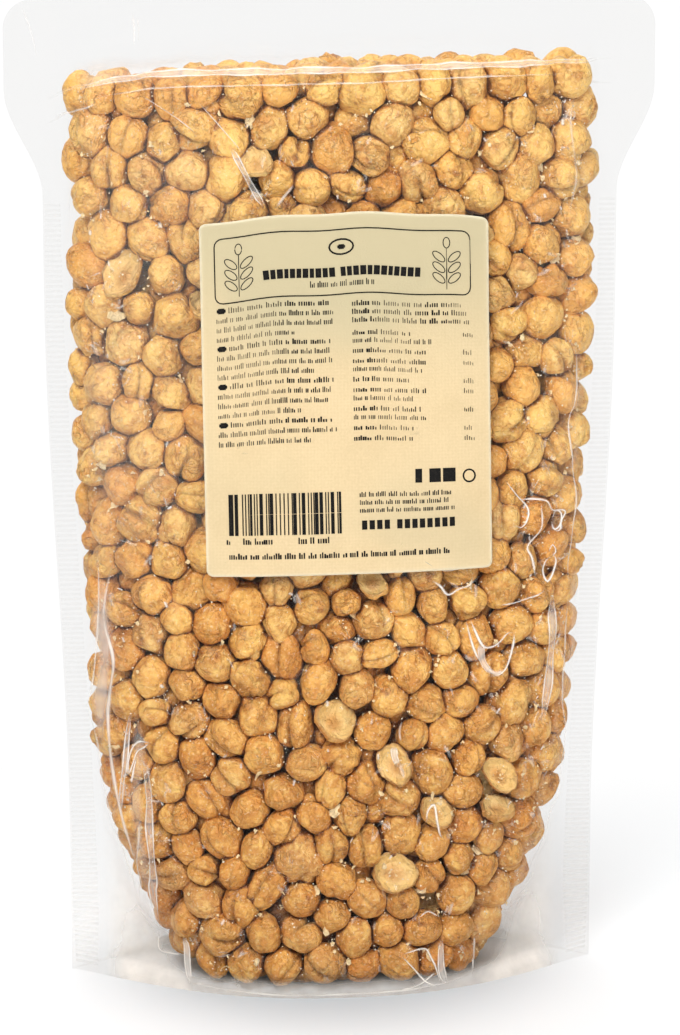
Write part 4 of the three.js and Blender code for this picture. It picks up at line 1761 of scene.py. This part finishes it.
@dataclass
class Label:
    """The cream paper label that is stuck to the front film."""

    grid: SkinGrid
    film: FilmPanel
    width: float = 81.2
    height: float = 99.0
    centre: tuple[float, float] = (2.1, 174.5)
    turn: float = math.radians(0.7)
    arch: float = 2.6
    corner: float = 1.8
    lift: float = 0.12
    thickness: float = 0.16
    cell: float = 0.8
    ink_thickness: tuple[float, float] = (0.05, 0.1)
    ink_slope: float = 0.03

    def held(self) -> Array:
        """1 where the label holds the film, fading to 0 a little outside it."""
        dx, dz = self.grid.x - self.centre[0], self.grid.z - self.centre[1]
        cos, sin = math.cos(self.turn), math.sin(self.turn)
        across, up = dx * cos + dz * sin, dz * cos - dx * sin
        outside = np.maximum(np.abs(across) - self.width / 2, np.abs(up) - self.height / 2)
        return 1 - smoothstep(outside, 0.0, 5.0)

    def place(self, across: Array, up: Array, lift: float) -> Array:
        """Lay places of the label on the pouch's front.

        Args:
            across: Places across the label, from its middle.
            up: Places up the label, from its middle.
            lift: Distance off the film.

        Returns:
            One row of x, y, z for each place.
        """
        past_x = np.clip(np.abs(across) - (self.width / 2 - self.corner), 0, None)
        past_up = np.clip(np.abs(up) - (self.height / 2 - self.corner), 0, None)
        round_off = np.maximum(past_x, past_up) / np.maximum(np.hypot(past_x, past_up), 1e-6)
        round_off = np.where(np.minimum(past_x, past_up) > 0, 1 - round_off, 0)
        across = across - np.sign(across) * past_x * round_off
        up = up - np.sign(up) * past_up * round_off
        to_edge = np.minimum(self.width / 2 - np.abs(across), self.height / 2 - np.abs(up))
        curl = 0.35 * smoothstep(-to_edge, -2.5, 0.0) * smoothstep(np.abs(across * up), 900, 1900)
        wave = 0.22 * np.sin(across / 5.5 + up / 16) * np.sin(up / 11 + 1.0)
        share = smoothstep(up, -45.0, 15.0)
        up = up + (self.arch * (1 - (2 * across / self.width) ** 2) + 0.25 * np.sin(across / 4.2)) * share
        cos, sin = math.cos(self.turn), math.sin(self.turn)
        x = self.centre[0] + across * cos - up * sin
        z = self.centre[1] + across * sin + up * cos
        y = -(self.grid.sample(self.film.flat, x, z) + self.lift + lift + curl + np.abs(wave))
        return np.stack([x, y, z], axis=-1)

    def paper(self) -> Mould:
        """Make the paper as a thin closed sheet."""
        columns, rows = int(self.width / self.cell), int(self.height / self.cell)
        up, across = np.meshgrid(np.linspace(-self.height / 2, self.height / 2, rows + 1),
                                 np.linspace(-self.width / 2, self.width / 2, columns + 1), indexing="ij")
        front = self.place(across, up, self.thickness).reshape(-1, 3)
        back = self.place(across, up, 0.0).reshape(-1, 3)
        shape = (rows + 1, columns + 1)
        count = len(front)
        faces = grid_faces(*shape) + [tuple(corner + count for corner in face)
                                      for face in grid_faces(*shape, flip=True)]
        numbers = np.arange(count).reshape(shape)
        rim = np.concatenate([numbers[0, :-1], numbers[:-1, -1], numbers[-1, :0:-1],
                              numbers[:0:-1, 0]]).tolist()
        for here, after in zip(rim, rim[1:] + rim[:1]):
            faces.append((after, here, here + count, after + count))
        # How near the edge each point is, where the paper's finish paints a highlight.
        to_edge = np.minimum(self.width / 2 - np.abs(across), self.height / 2 - np.abs(up)).ravel()
        edge = 1 - smoothstep(to_edge, 0.0, 1.0)
        return Mould(np.concatenate([front, back]), faces, {"edge": np.concatenate([edge, edge])})

    def print(self, blocks: Blocks, finish: bpy.types.Material) -> bpy.types.Object:
        """Lay the strokes of the print on the paper as one piece.

        Args:
            blocks: The tree that lays them.
            finish: The ink.

        Returns:
            The piece.
        """
        strokes = LabelPrint().draw()
        start = np.array([stroke.start for stroke in strokes])
        end = np.array([stroke.end for stroke in strokes])
        middle = (start + end) / 2
        length = np.linalg.norm(end - start, axis=1)
        along = (end - start) / length[:, None]
        weight = np.array([stroke.weight for stroke in strokes])
        ink = np.clip(self.ink_slope * np.maximum(length, weight), *self.ink_thickness)
        lift = self.thickness + ink / 2
        ahead = self.place(*(middle + along / 2).T, lift) - self.place(*(middle - along / 2).T, lift)
        side = np.stack([-along[:, 1], along[:, 0]], axis=1)
        aside = self.place(*(middle + side / 2).T, lift) - self.place(*(middle - side / 2).T, lift)
        turns = [Matrix((Vector(a).normalized(), Vector(b).normalized(),
                         Vector(a).cross(Vector(b)).normalized())).transposed().to_euler()
                 for a, b in zip(ahead, aside)]
        sizes = np.stack([length + 0.1, weight, ink], axis=1)
        return blocks.lay("label_print", self.place(*middle.T, lift), sizes, np.array(turns), prism(4),
                          finish)


# ---------------------------------------------------------------- the studio


@dataclass(frozen=True)
class Lamp:
    """A soft rectangular light, given by its middle, the point it faces, its two sizes and its power."""

    name: str
    place: tuple[float, float, float]
    aim: tuple[float, float, float]
    size: tuple[float, float]
    watts: float

    def hang(self) -> None:
        """Make the light."""
        data = bpy.data.lights.new(self.name, "AREA")
        data.shape = "RECTANGLE"
        data.size, data.size_y = self.size[0] * MM, self.size[1] * MM
        data.energy = self.watts
        lamp = bpy.data.objects.new(self.name, data)
        lamp.location = Vector(self.place) * MM
        lamp.rotation_euler = (Vector(self.aim) - Vector(self.place)).to_track_quat("-Z", "Y").to_euler()
        bpy.context.scene.collection.objects.link(lamp)


@dataclass
class Studio:
    """A white floor that curves up into a wall, soft lights, and the camera of the photograph."""

    target: tuple[float, float, float] = (2.5, 0.0, 134.3)
    distance: float = 1200.0
    elevation: float = math.radians(12.0)
    azimuth: float = math.radians(5.0)
    pixels_per_mm: float = 3.455
    picture_height: float = 1035.0
    sensor: float = 36.0
    clip: tuple[float, float] = (0.05, 20.0)
    near: float = -3000.0
    far: float = 2600.0
    half_width: float = 6000.0
    wall_top: float = 5200.0
    sky: float = 0.09
    see_through: int = 24
    lamps: tuple[Lamp, ...] = (
        Lamp("key_light", (-290.0, -845.0, 850.0), (0.0, 0.0, 130.0), (560.0, 480.0), 10.7),
        Lamp("fill_light", (1000.0, -1050.0, 400.0), (0.0, 0.0, 130.0), (600.0, 800.0), 5.1),
        Lamp("top_light", (0.0, 350.0, 2000.0), (0.0, 250.0, 0.0), (2600.0, 1800.0), 28.0))

    def camera(self) -> None:
        """Place the camera and make it the scene's."""
        cos, sin = math.cos(self.elevation), math.sin(self.elevation)
        offset = Vector((math.sin(-self.azimuth) * cos, -math.cos(self.azimuth) * cos, sin)) * self.distance
        data = bpy.data.cameras.new("camera")
        data.sensor_fit = "VERTICAL"
        data.sensor_height = self.sensor
        data.lens = self.pixels_per_mm * self.distance / self.picture_height * self.sensor
        data.clip_start, data.clip_end = self.clip
        camera = bpy.data.objects.new("camera", data)
        camera.location = (Vector(self.target) + offset) * MM
        camera.rotation_euler = (-offset).to_track_quat("-Z", "Y").to_euler()
        bpy.context.scene.collection.objects.link(camera)
        bpy.context.scene.camera = camera

    def lights(self) -> None:
        """Hang the lights and set the pale surroundings."""
        for lamp in self.lamps:
            lamp.hang()
        world = bpy.data.worlds.new("studio")
        world.use_nodes = True
        background = world.node_tree.nodes["Background"]
        background.inputs["Color"].default_value = (1.0, 1.0, 1.0, 1.0)
        background.inputs["Strength"].default_value = self.sky
        scene = bpy.context.scene
        scene.world = world
        scene.view_settings.view_transform = "Standard"
        scene.view_settings.look = "None"
        scene.cycles.transparent_max_bounces = self.see_through

    def sheet(self, name: str, start: tuple[float, float], end: tuple[float, float],
              finish: bpy.types.Material) -> bpy.types.Object:
        """Make a plain sheet as wide as the studio between two edges, each given by its y and z."""
        edges = ((-1, start), (1, start), (1, end), (-1, end))
        outline = np.array([(side * self.half_width, *edge) for side, edge in edges])
        piece = Mould(outline, [(0, 1, 2, 3)]).cast(name)
        piece.data.materials.append(finish)
        return piece

    def build(self) -> None:
        """Make the whole studio."""
        self.camera()
        self.lights()
        foot, top = (self.far, 0.0), (self.far, self.wall_top)
        floor = self.sheet("studio_floor", (self.near, 0.0), foot, StudioFloor().material())
        wall = self.sheet("studio_wall", foot, top, StudioWall().material())


# ---------------------------------------------------------------- the bag


TOP_FOLD = ((-80.0, -69.6, -54.1, -38.0, -1.7, 32.4, 64.1, 80.0),
            (256.5, 261.0, 264.0, 265.0, 265.6, 266.4, 266.8, 266.4))

FRONT_CREASES = (
    Crease(tuple(zip(*TOP_FOLD)), 0.7, 0.75, 0.35, edged=True),
    Crease(((-74.0, 255.7), (-54.2, 260.5), (-29.6, 261.7), (-2.1, 262.1), (46.1, 263.5), (66.6, 263.3)),
           0.4, 0.28, 0.5),
    Crease(((-78.0, 251.6), (-72.7, 253.6), (-66.9, 256.2)), 0.4, 0.3, 0.5),
    Crease(((-54.2, 258.8), (-44.3, 252.4), (-39.4, 248.5)), 0.3, 0.2, 0.55),
    Crease(((-38.8, 257.2), (-29.7, 246.9), (-26.1, 242.4)), 0.3, 0.2, 0.5),
    Crease(((-29.7, 244.4), (-26.2, 237.7), (-22.6, 231.0), (-20.4, 227.9)), 0.4, 0.8, 0.3, edged=True),
    Crease(((-12.3, 234.0), (-15.1, 230.4), (-17.1, 227.6)), 0.3, 0.4, 0.5),
    Crease(((68.0, 257.3), (66.9, 247.5), (68.3, 236.0), (66.8, 223.4)), 0.3, 0.4, 0.3),
    Crease(((-63.8, 126.1), (-66.4, 113.1), (-66.2, 106.3), (-64.1, 96.7), (-65.7, 79.0), (-63.4, 56.7),
            (-57.5, 32.7)), 0.4, 0.5, 0.7),
    Crease(((-68.0, 126.0), (-67.8, 117.2), (-68.5, 102.1), (-70.5, 85.2), (-71.9, 80.9)), 0.3, 0.28, 0.7),
    Crease(((-66.6, 121.2), (-67.1, 109.2), (-66.6, 97.2), (-67.6, 85.2), (-68.2, 71.2)), 0.4, 2.2, 0.40),
    Crease(((-58.0, 84.0), (-57.0, 70.0), (-58.2, 56.0), (-56.5, 40.0), (-54.5, 22.0)), 0.3, 1.6, 0.2),
    Crease(((-71.9, 80.9), (-68.8, 71.5), (-66.9, 56.8), (-63.1, 42.8), (-58.7, 28.9), (-57.9, 21.2)),
           0.3, 0.3, 0.5),
    Crease(((-55.6, 69.2), (-54.4, 57.0), (-54.4, 47.6), (-53.3, 33.4), (-53.3, 27.0), (-51.4, 13.8)),
           0.5, 1.0, 0.3, edged=True),
    Crease(((-51.4, 13.8), (-51.4, 8.5), (-48.1, 8.3), (-44.7, 9.0)), 0.3, 0.3, 0.6),
    Crease(((-59.3, 82.8), (-60.5, 72.8), (-62.0, 58.7), (-62.5, 50.5)), 0.3, 0.6, 0.25, edged=True),
    Crease(((-57.0, 51.9), (-57.8, 36.5), (-56.7, 29.4), (-57.0, 22.9)), 0.3, 0.35, 0.45),
    Crease(((-54.3, 74.6), (-56.8, 74.6), (-59.1, 71.6), (-60.2, 67.8), (-60.3, 63.5)), 0.4, 0.35, 0.95),
    Crease(((-60.3, 63.5), (-58.9, 67.4), (-57.7, 70.9), (-56.0, 72.9), (-54.3, 74.6)), 0.4, 0.3, 0.95),
    Crease(((-57.7, 69.4), (-58.6, 66.2), (-59.4, 60.8)), 0.3, 0.3, 0.9),
    Crease(((-44.7, 15.2), (-43.8, 11.6), (-43.6, 6.7), (-43.1, 1.5)), 0.4, 0.7, 0.5, edged=True),
    Crease(((66.6, 189.2), (69.4, 181.6), (68.6, 170.1), (67.0, 161.7), (69.7, 140.6), (67.6, 123.4),
            (67.4, 114.6)), 0.3, 0.3, 0.6),
    Crease(((67.4, 114.6), (67.2, 105.6), (65.9, 85.0), (67.7, 70.4), (66.9, 61.6), (63.5, 44.4),
            (56.2, 27.3)), 0.3, 0.35, 0.55),
    Crease(((61.8, 115.4), (62.2, 100.9), (61.4, 89.2), (59.3, 76.2)), 0.5, 1.2, 0.33, edged=True),
    Crease(((69.0, 121.2), (70.0, 101.2), (69.0, 81.2)), 0.4, 1.5, 0.2),
    Crease(((47.5, 149.3), (50.8, 145.0), (54.4, 140.6), (54.2, 137.2), (52.6, 135.3), (49.9, 136.4)),
           0.4, 0.3, 0.95),
    Crease(((50.8, 143.6), (59.6, 142.4), (61.8, 139.5), (66.3, 137.9), (65.1, 135.2), (64.4, 132.6),
            (61.9, 133.4)), 0.4, 0.32, 0.9),
    Crease(((61.5, 136.3), (62.8, 138.8), (65.0, 137.5), (64.8, 134.3), (62.8, 133.2), (61.5, 136.3)),
           0.3, 0.3, 0.95),
    Crease(((58.4, 141.7), (58.4, 134.1), (54.5, 129.4), (55.7, 126.0), (57.0, 119.7)), 0.4, 0.35, 0.85),
    Crease(((61.9, 126.9), (63.3, 124.1), (62.3, 120.4), (60.4, 118.7), (59.2, 121.8), (60.4, 124.5),
            (62.3, 125.7)), 0.3, 0.32, 0.95),
    Crease(((61.0, 126.8), (62.2, 128.9), (63.2, 127.0), (62.0, 125.5)), 0.3, 0.3, 0.9),
    Crease(((36.0, 109.8), (37.5, 103.9), (38.7, 100.4), (40.2, 97.3)), 0.4, 0.35, 0.85),
    Crease(((37.2, 110.0), (40.5, 102.8), (43.1, 101.5), (46.1, 102.6), (48.5, 105.0), (50.3, 105.1)),
           0.4, 0.35, 0.95),
    Crease(((50.3, 105.1), (50.1, 101.3), (48.6, 97.1), (46.2, 93.9), (42.9, 93.0)), 0.4, 0.35, 0.9),
    Crease(((40.2, 102.9), (41.0, 97.6), (43.4, 94.0)), 0.5, 1.0, 0.65, edged=True),
    Crease(((42.0, 95.6), (44.6, 94.0), (47.0, 94.6)), 0.5, 0.8, 0.7),
    Crease(((25.9, 122.2), (28.5, 120.1), (30.8, 117.4), (34.0, 118.9), (37.2, 120.1), (37.8, 123.0)),
           0.3, 0.35, 0.85),
    Crease(((46.1, 113.4), (50.9, 113.8), (56.4, 114.9), (59.5, 116.5)), 0.4, 0.3, 0.85),
    Crease(((24.2, 51.9), (24.8, 55.5), (26.8, 56.5), (27.4, 52.2), (28.4, 47.9), (29.9, 46.0)),
           0.4, 0.35, 0.85),
    Crease(((15.1, 73.8), (15.4, 70.8), (16.3, 69.0)), 0.3, 0.9, 0.5, edged=True),
    Crease(((17.4, 81.3), (16.8, 78.3), (17.1, 75.4)), 0.3, 0.35, 0.5),
    Crease(((17.4, 11.7), (20.7, 12.6), (24.5, 13.1), (26.4, 9.8), (27.9, 6.5), (29.1, 1.5)), 0.3, 0.3, 0.9),
    Crease(((17.4, 11.7), (20.7, 8.0), (24.6, 3.1), (28.6, 1.2)), 0.3, 0.25, 0.9),
    Crease(((16.5, 1.5), (22.5, 2.2), (27.9, 5.3)), 0.3, 0.25, 0.8),
    Crease(((29.3, 15.5), (29.4, 7.2), (30.7, 1.5)), 0.4, 0.9, 0.45, edged=True),
    Crease(((39.5, 14.7), (39.9, 8.4), (39.0, 2.2)), 0.3, 0.4, 0.6),
    Crease(((22.4, 22.7), (25.3, 24.2), (28.4, 22.4)), 0.3, 0.3, 0.8),
    Crease(((-43.6, 2.0), (-29.0, 1.2), (-11.9, 0.9), (17.1, 1.2), (29.1, 1.8), (39.6, 3.0)),
           0.2, 0.35, 0.5),
    Crease(((22.0, 129.2), (29.0, 125.2), (36.0, 126.2)), 0.3, 0.2, 0.6),
    Crease(((-87.0, 282.2), (-84.5, 275.2), (-83.0, 268.2)), 0.2, 0.2, 0.3),
    Crease(((-56.0, 280.2), (-55.6, 275.2), (-55.8, 271.2)), 0.2, 0.25, 0.3),
    Crease(((-54.6, 279.2), (-54.4, 275.2), (-54.5, 272.2)), 0.2, 0.2, 0.25),
)

BACK_CREASES = (
    Crease(tuple((x, z - 7.0) for x, z in zip(*TOP_FOLD)), 0.8, 0.55, 0.5, edged=True),
    Crease(((-70.0, 253.2), (-30.0, 258.2), (20.0, 259.7), (70.0, 257.2)), 0.4, 0.25, 0.55),
    Crease(((-22.0, 227.2), (-18.0, 181.2), (-24.0, 141.2), (-20.0, 101.2)), 0.5, 0.7, 0.22, edged=True),
    Crease(((26.0, 201.2), (32.0, 161.2), (28.0, 121.2), (34.0, 81.2)), 0.5, 0.7, 0.22, edged=True),
    Crease(((62.0, 191.2), (65.0, 141.2), (62.0, 91.2), (54.0, 46.2)), 0.5, 0.8, 0.25, edged=True),
    Crease(((66.0, 171.2), (69.0, 131.2), (68.0, 91.2)), 0.4, 0.4, 0.3, edged=True),
    Crease(((-62.0, 181.2), (-66.0, 121.2), (-62.0, 71.2), (-52.0, 36.2)), 0.5, 0.8, 0.25, edged=True),
    Crease(((-8.0, 129.2), (0.0, 135.2), (6.0, 127.2), (2.0, 119.2)), 0.35, 0.22, 0.85),
    Crease(((-2.0, 181.2), (6.0, 187.2), (14.0, 181.2), (10.0, 171.2)), 0.35, 0.2, 0.7),
    Crease(((40.0, 67.2), (46.0, 61.2), (42.0, 53.2), (34.0, 57.2)), 0.35, 0.22, 0.8),
    Crease(((-44.0, 221.2), (-36.0, 213.2), (-34.0, 201.2)), 0.3, 0.2, 0.6),
    Crease(((-14.0, 23.2), (-22.0, 19.2), (-28.0, 11.2), (-18.0, 10.2)), 0.3, 0.2, 0.65),
)


class BagOfChickpeas:
    """The whole bag, built piece by piece in order."""

    def __init__(self) -> None:
        """Prepare the form, the trees and the finishes that the pieces share."""
        self.form = PouchForm()
        self.grid = SkinGrid(self.form)
        self.scatter = Scatter()
        self.blocks = Blocks()
        self.skin = RoastedSkin().material()
        self.clear = ClearFilm().material()
        self.thin = ClearFilm(name="thin film detail", passed=(0.992, 0.992, 0.991, 1.0)).material()

    def build(self) -> None:
        """Make every piece, dress it and tie it to the frame."""
        contents = Contents(self.form, self.scatter).build(self.skin)
        core = Core(self.form).mould().cast("heap_core")
        core.data.materials.append(DarkHeap().material())
        solid = np.concatenate([places_of(piece.data) for piece in contents]).astype(float)

        front = FilmPanel(self.form, self.grid, Side.FRONT, FRONT_CREASES)
        label = Label(self.grid, front)
        front.drape(solid, label.held())
        front.fold()
        back = FilmPanel(self.form, self.grid, Side.BACK, BACK_CREASES)
        back.drape(solid)
        back.fold()
        crumbs = self._crumbs(front, 5) + self._crumbs(back, 6)
        pressed = ClearFilm("pressed seal film", (0.984, 0.984, 0.983, 1.0))
        films = [self._dress(front.mould().cast("film_front"), self.clear),
                 self._dress(back.mould().cast("film_back"), self.clear),
                 self._dress(Gusset(self.form).mould().cast("film_gusset"), self.thin),
                 self._dress(Folds(front, 3).mould().cast("film_folds_front"), self.thin),
                 self._dress(Folds(back, 4).mould().cast("film_folds_back"), self.thin),
                 SealRibs(self.form).build(self.blocks, pressed.material())]
        paper = self._dress(label.paper().cast("label_paper"), LabelPaper().material())
        ink = label.print(self.blocks, PrintInk().material())

        for piece in contents + crumbs + [core]:
            self._tie(piece, "roasted_chickpeas", "filled_pouch")
        for piece in films:
            self._tie(piece, "clear_film", "filled_pouch")
        for piece in (paper, ink):
            self._tie(piece, "label_paper", "paper_label")

    def _crumbs(self, film: FilmPanel, seed: int) -> list[bpy.types.Object]:
        """Scatter crumbs, salt and loose skins in the gaps just under one film."""
        rng = np.random.default_rng(seed)
        name, grid = film.side.name.lower(), film.grid
        free = ~film.pinned & (grid.z > 6) & (grid.z < 262)
        free &= np.abs(grid.x) < self.form.contents_half_width(grid.z) - 5
        if film.held is not None:
            free &= film.held <= 0
        outward = np.array([0.0, film.side.value, 0.0])
        crumb_shapes = [CrumbShape(number).mould() for number in range(5)]
        skin_shapes = [SkinShape(number).mould() for number in range(6)]
        pieces = []
        for kind, count, size, gaps, shapes in (("crumbs", 1700, (0.10, 0.38), (0.6, 3.9), crumb_shapes),
                                                ("skin_flakes", 380, (0.3, 0.9), (0.6, 3.4), skin_shapes),
                                                ("loose_skins", 26, (1.4, 2.6), (0.4, 1.4), skin_shapes)):
            rows, columns = np.nonzero(free & (film.gap > gaps[0]) & (film.gap < gaps[1]))
            pick = rng.choice(len(rows), size=count, replace=False)
            row, column = rows[pick], columns[pick]
            radius = rng.uniform(*size, size=count)
            depth = film.height[row, column] - radius * rng.uniform(0.6, 1.6, size=count) - 0.15
            centres = np.stack([grid.x[row, column], film.side.value * depth, grid.z[row, column]], axis=1)
            centres += rng.uniform(-0.45, 0.45, size=(count, 3)) * [1, 0, 1]
            facing = np.repeat(outward[None, :], count, axis=0) + rng.normal(scale=0.35, size=(count, 3))
            piece = self.scatter.lay(f"{kind}_{name}", centres, radius, facing, shapes, self.skin,
                                     seed=seed + count, face_outwards=0.6, unevenness=0.3,
                                     smooth=kind != "crumbs")
            piece.data.attributes.remove(piece.data.attributes["grain"])
            pieces.append(piece)
        return pieces

    @staticmethod
    def _dress(piece: bpy.types.Object, finish: bpy.types.Material) -> bpy.types.Object:
        """Give a piece its material."""
        piece.data.materials.append(finish)
        return piece

    @staticmethod
    def _tie(piece: bpy.types.Object, slot: str, node: str) -> None:
        """Tie a piece to the frame and hide the solid that it stands for."""
        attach(piece, "root")
        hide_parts(node)
        triangles = sum(len(polygon.vertices) - 2 for polygon in piece.data.polygons)
        log.info("%s: %d triangles", piece.name, triangles)


def corners(box: tuple[Vector, Vector]) -> list[list[float]]:
    """Turn a box's two corners into plain lists."""
    return [[float(number) for number in corner] for corner in box]


def main() -> None:
    """Build the bag and its studio."""
    logging.basicConfig(level=logging.INFO, format="%(message)s")
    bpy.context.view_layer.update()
    Studio().build()
    BagOfChickpeas().build()


if __name__ == "__main__":
    main()
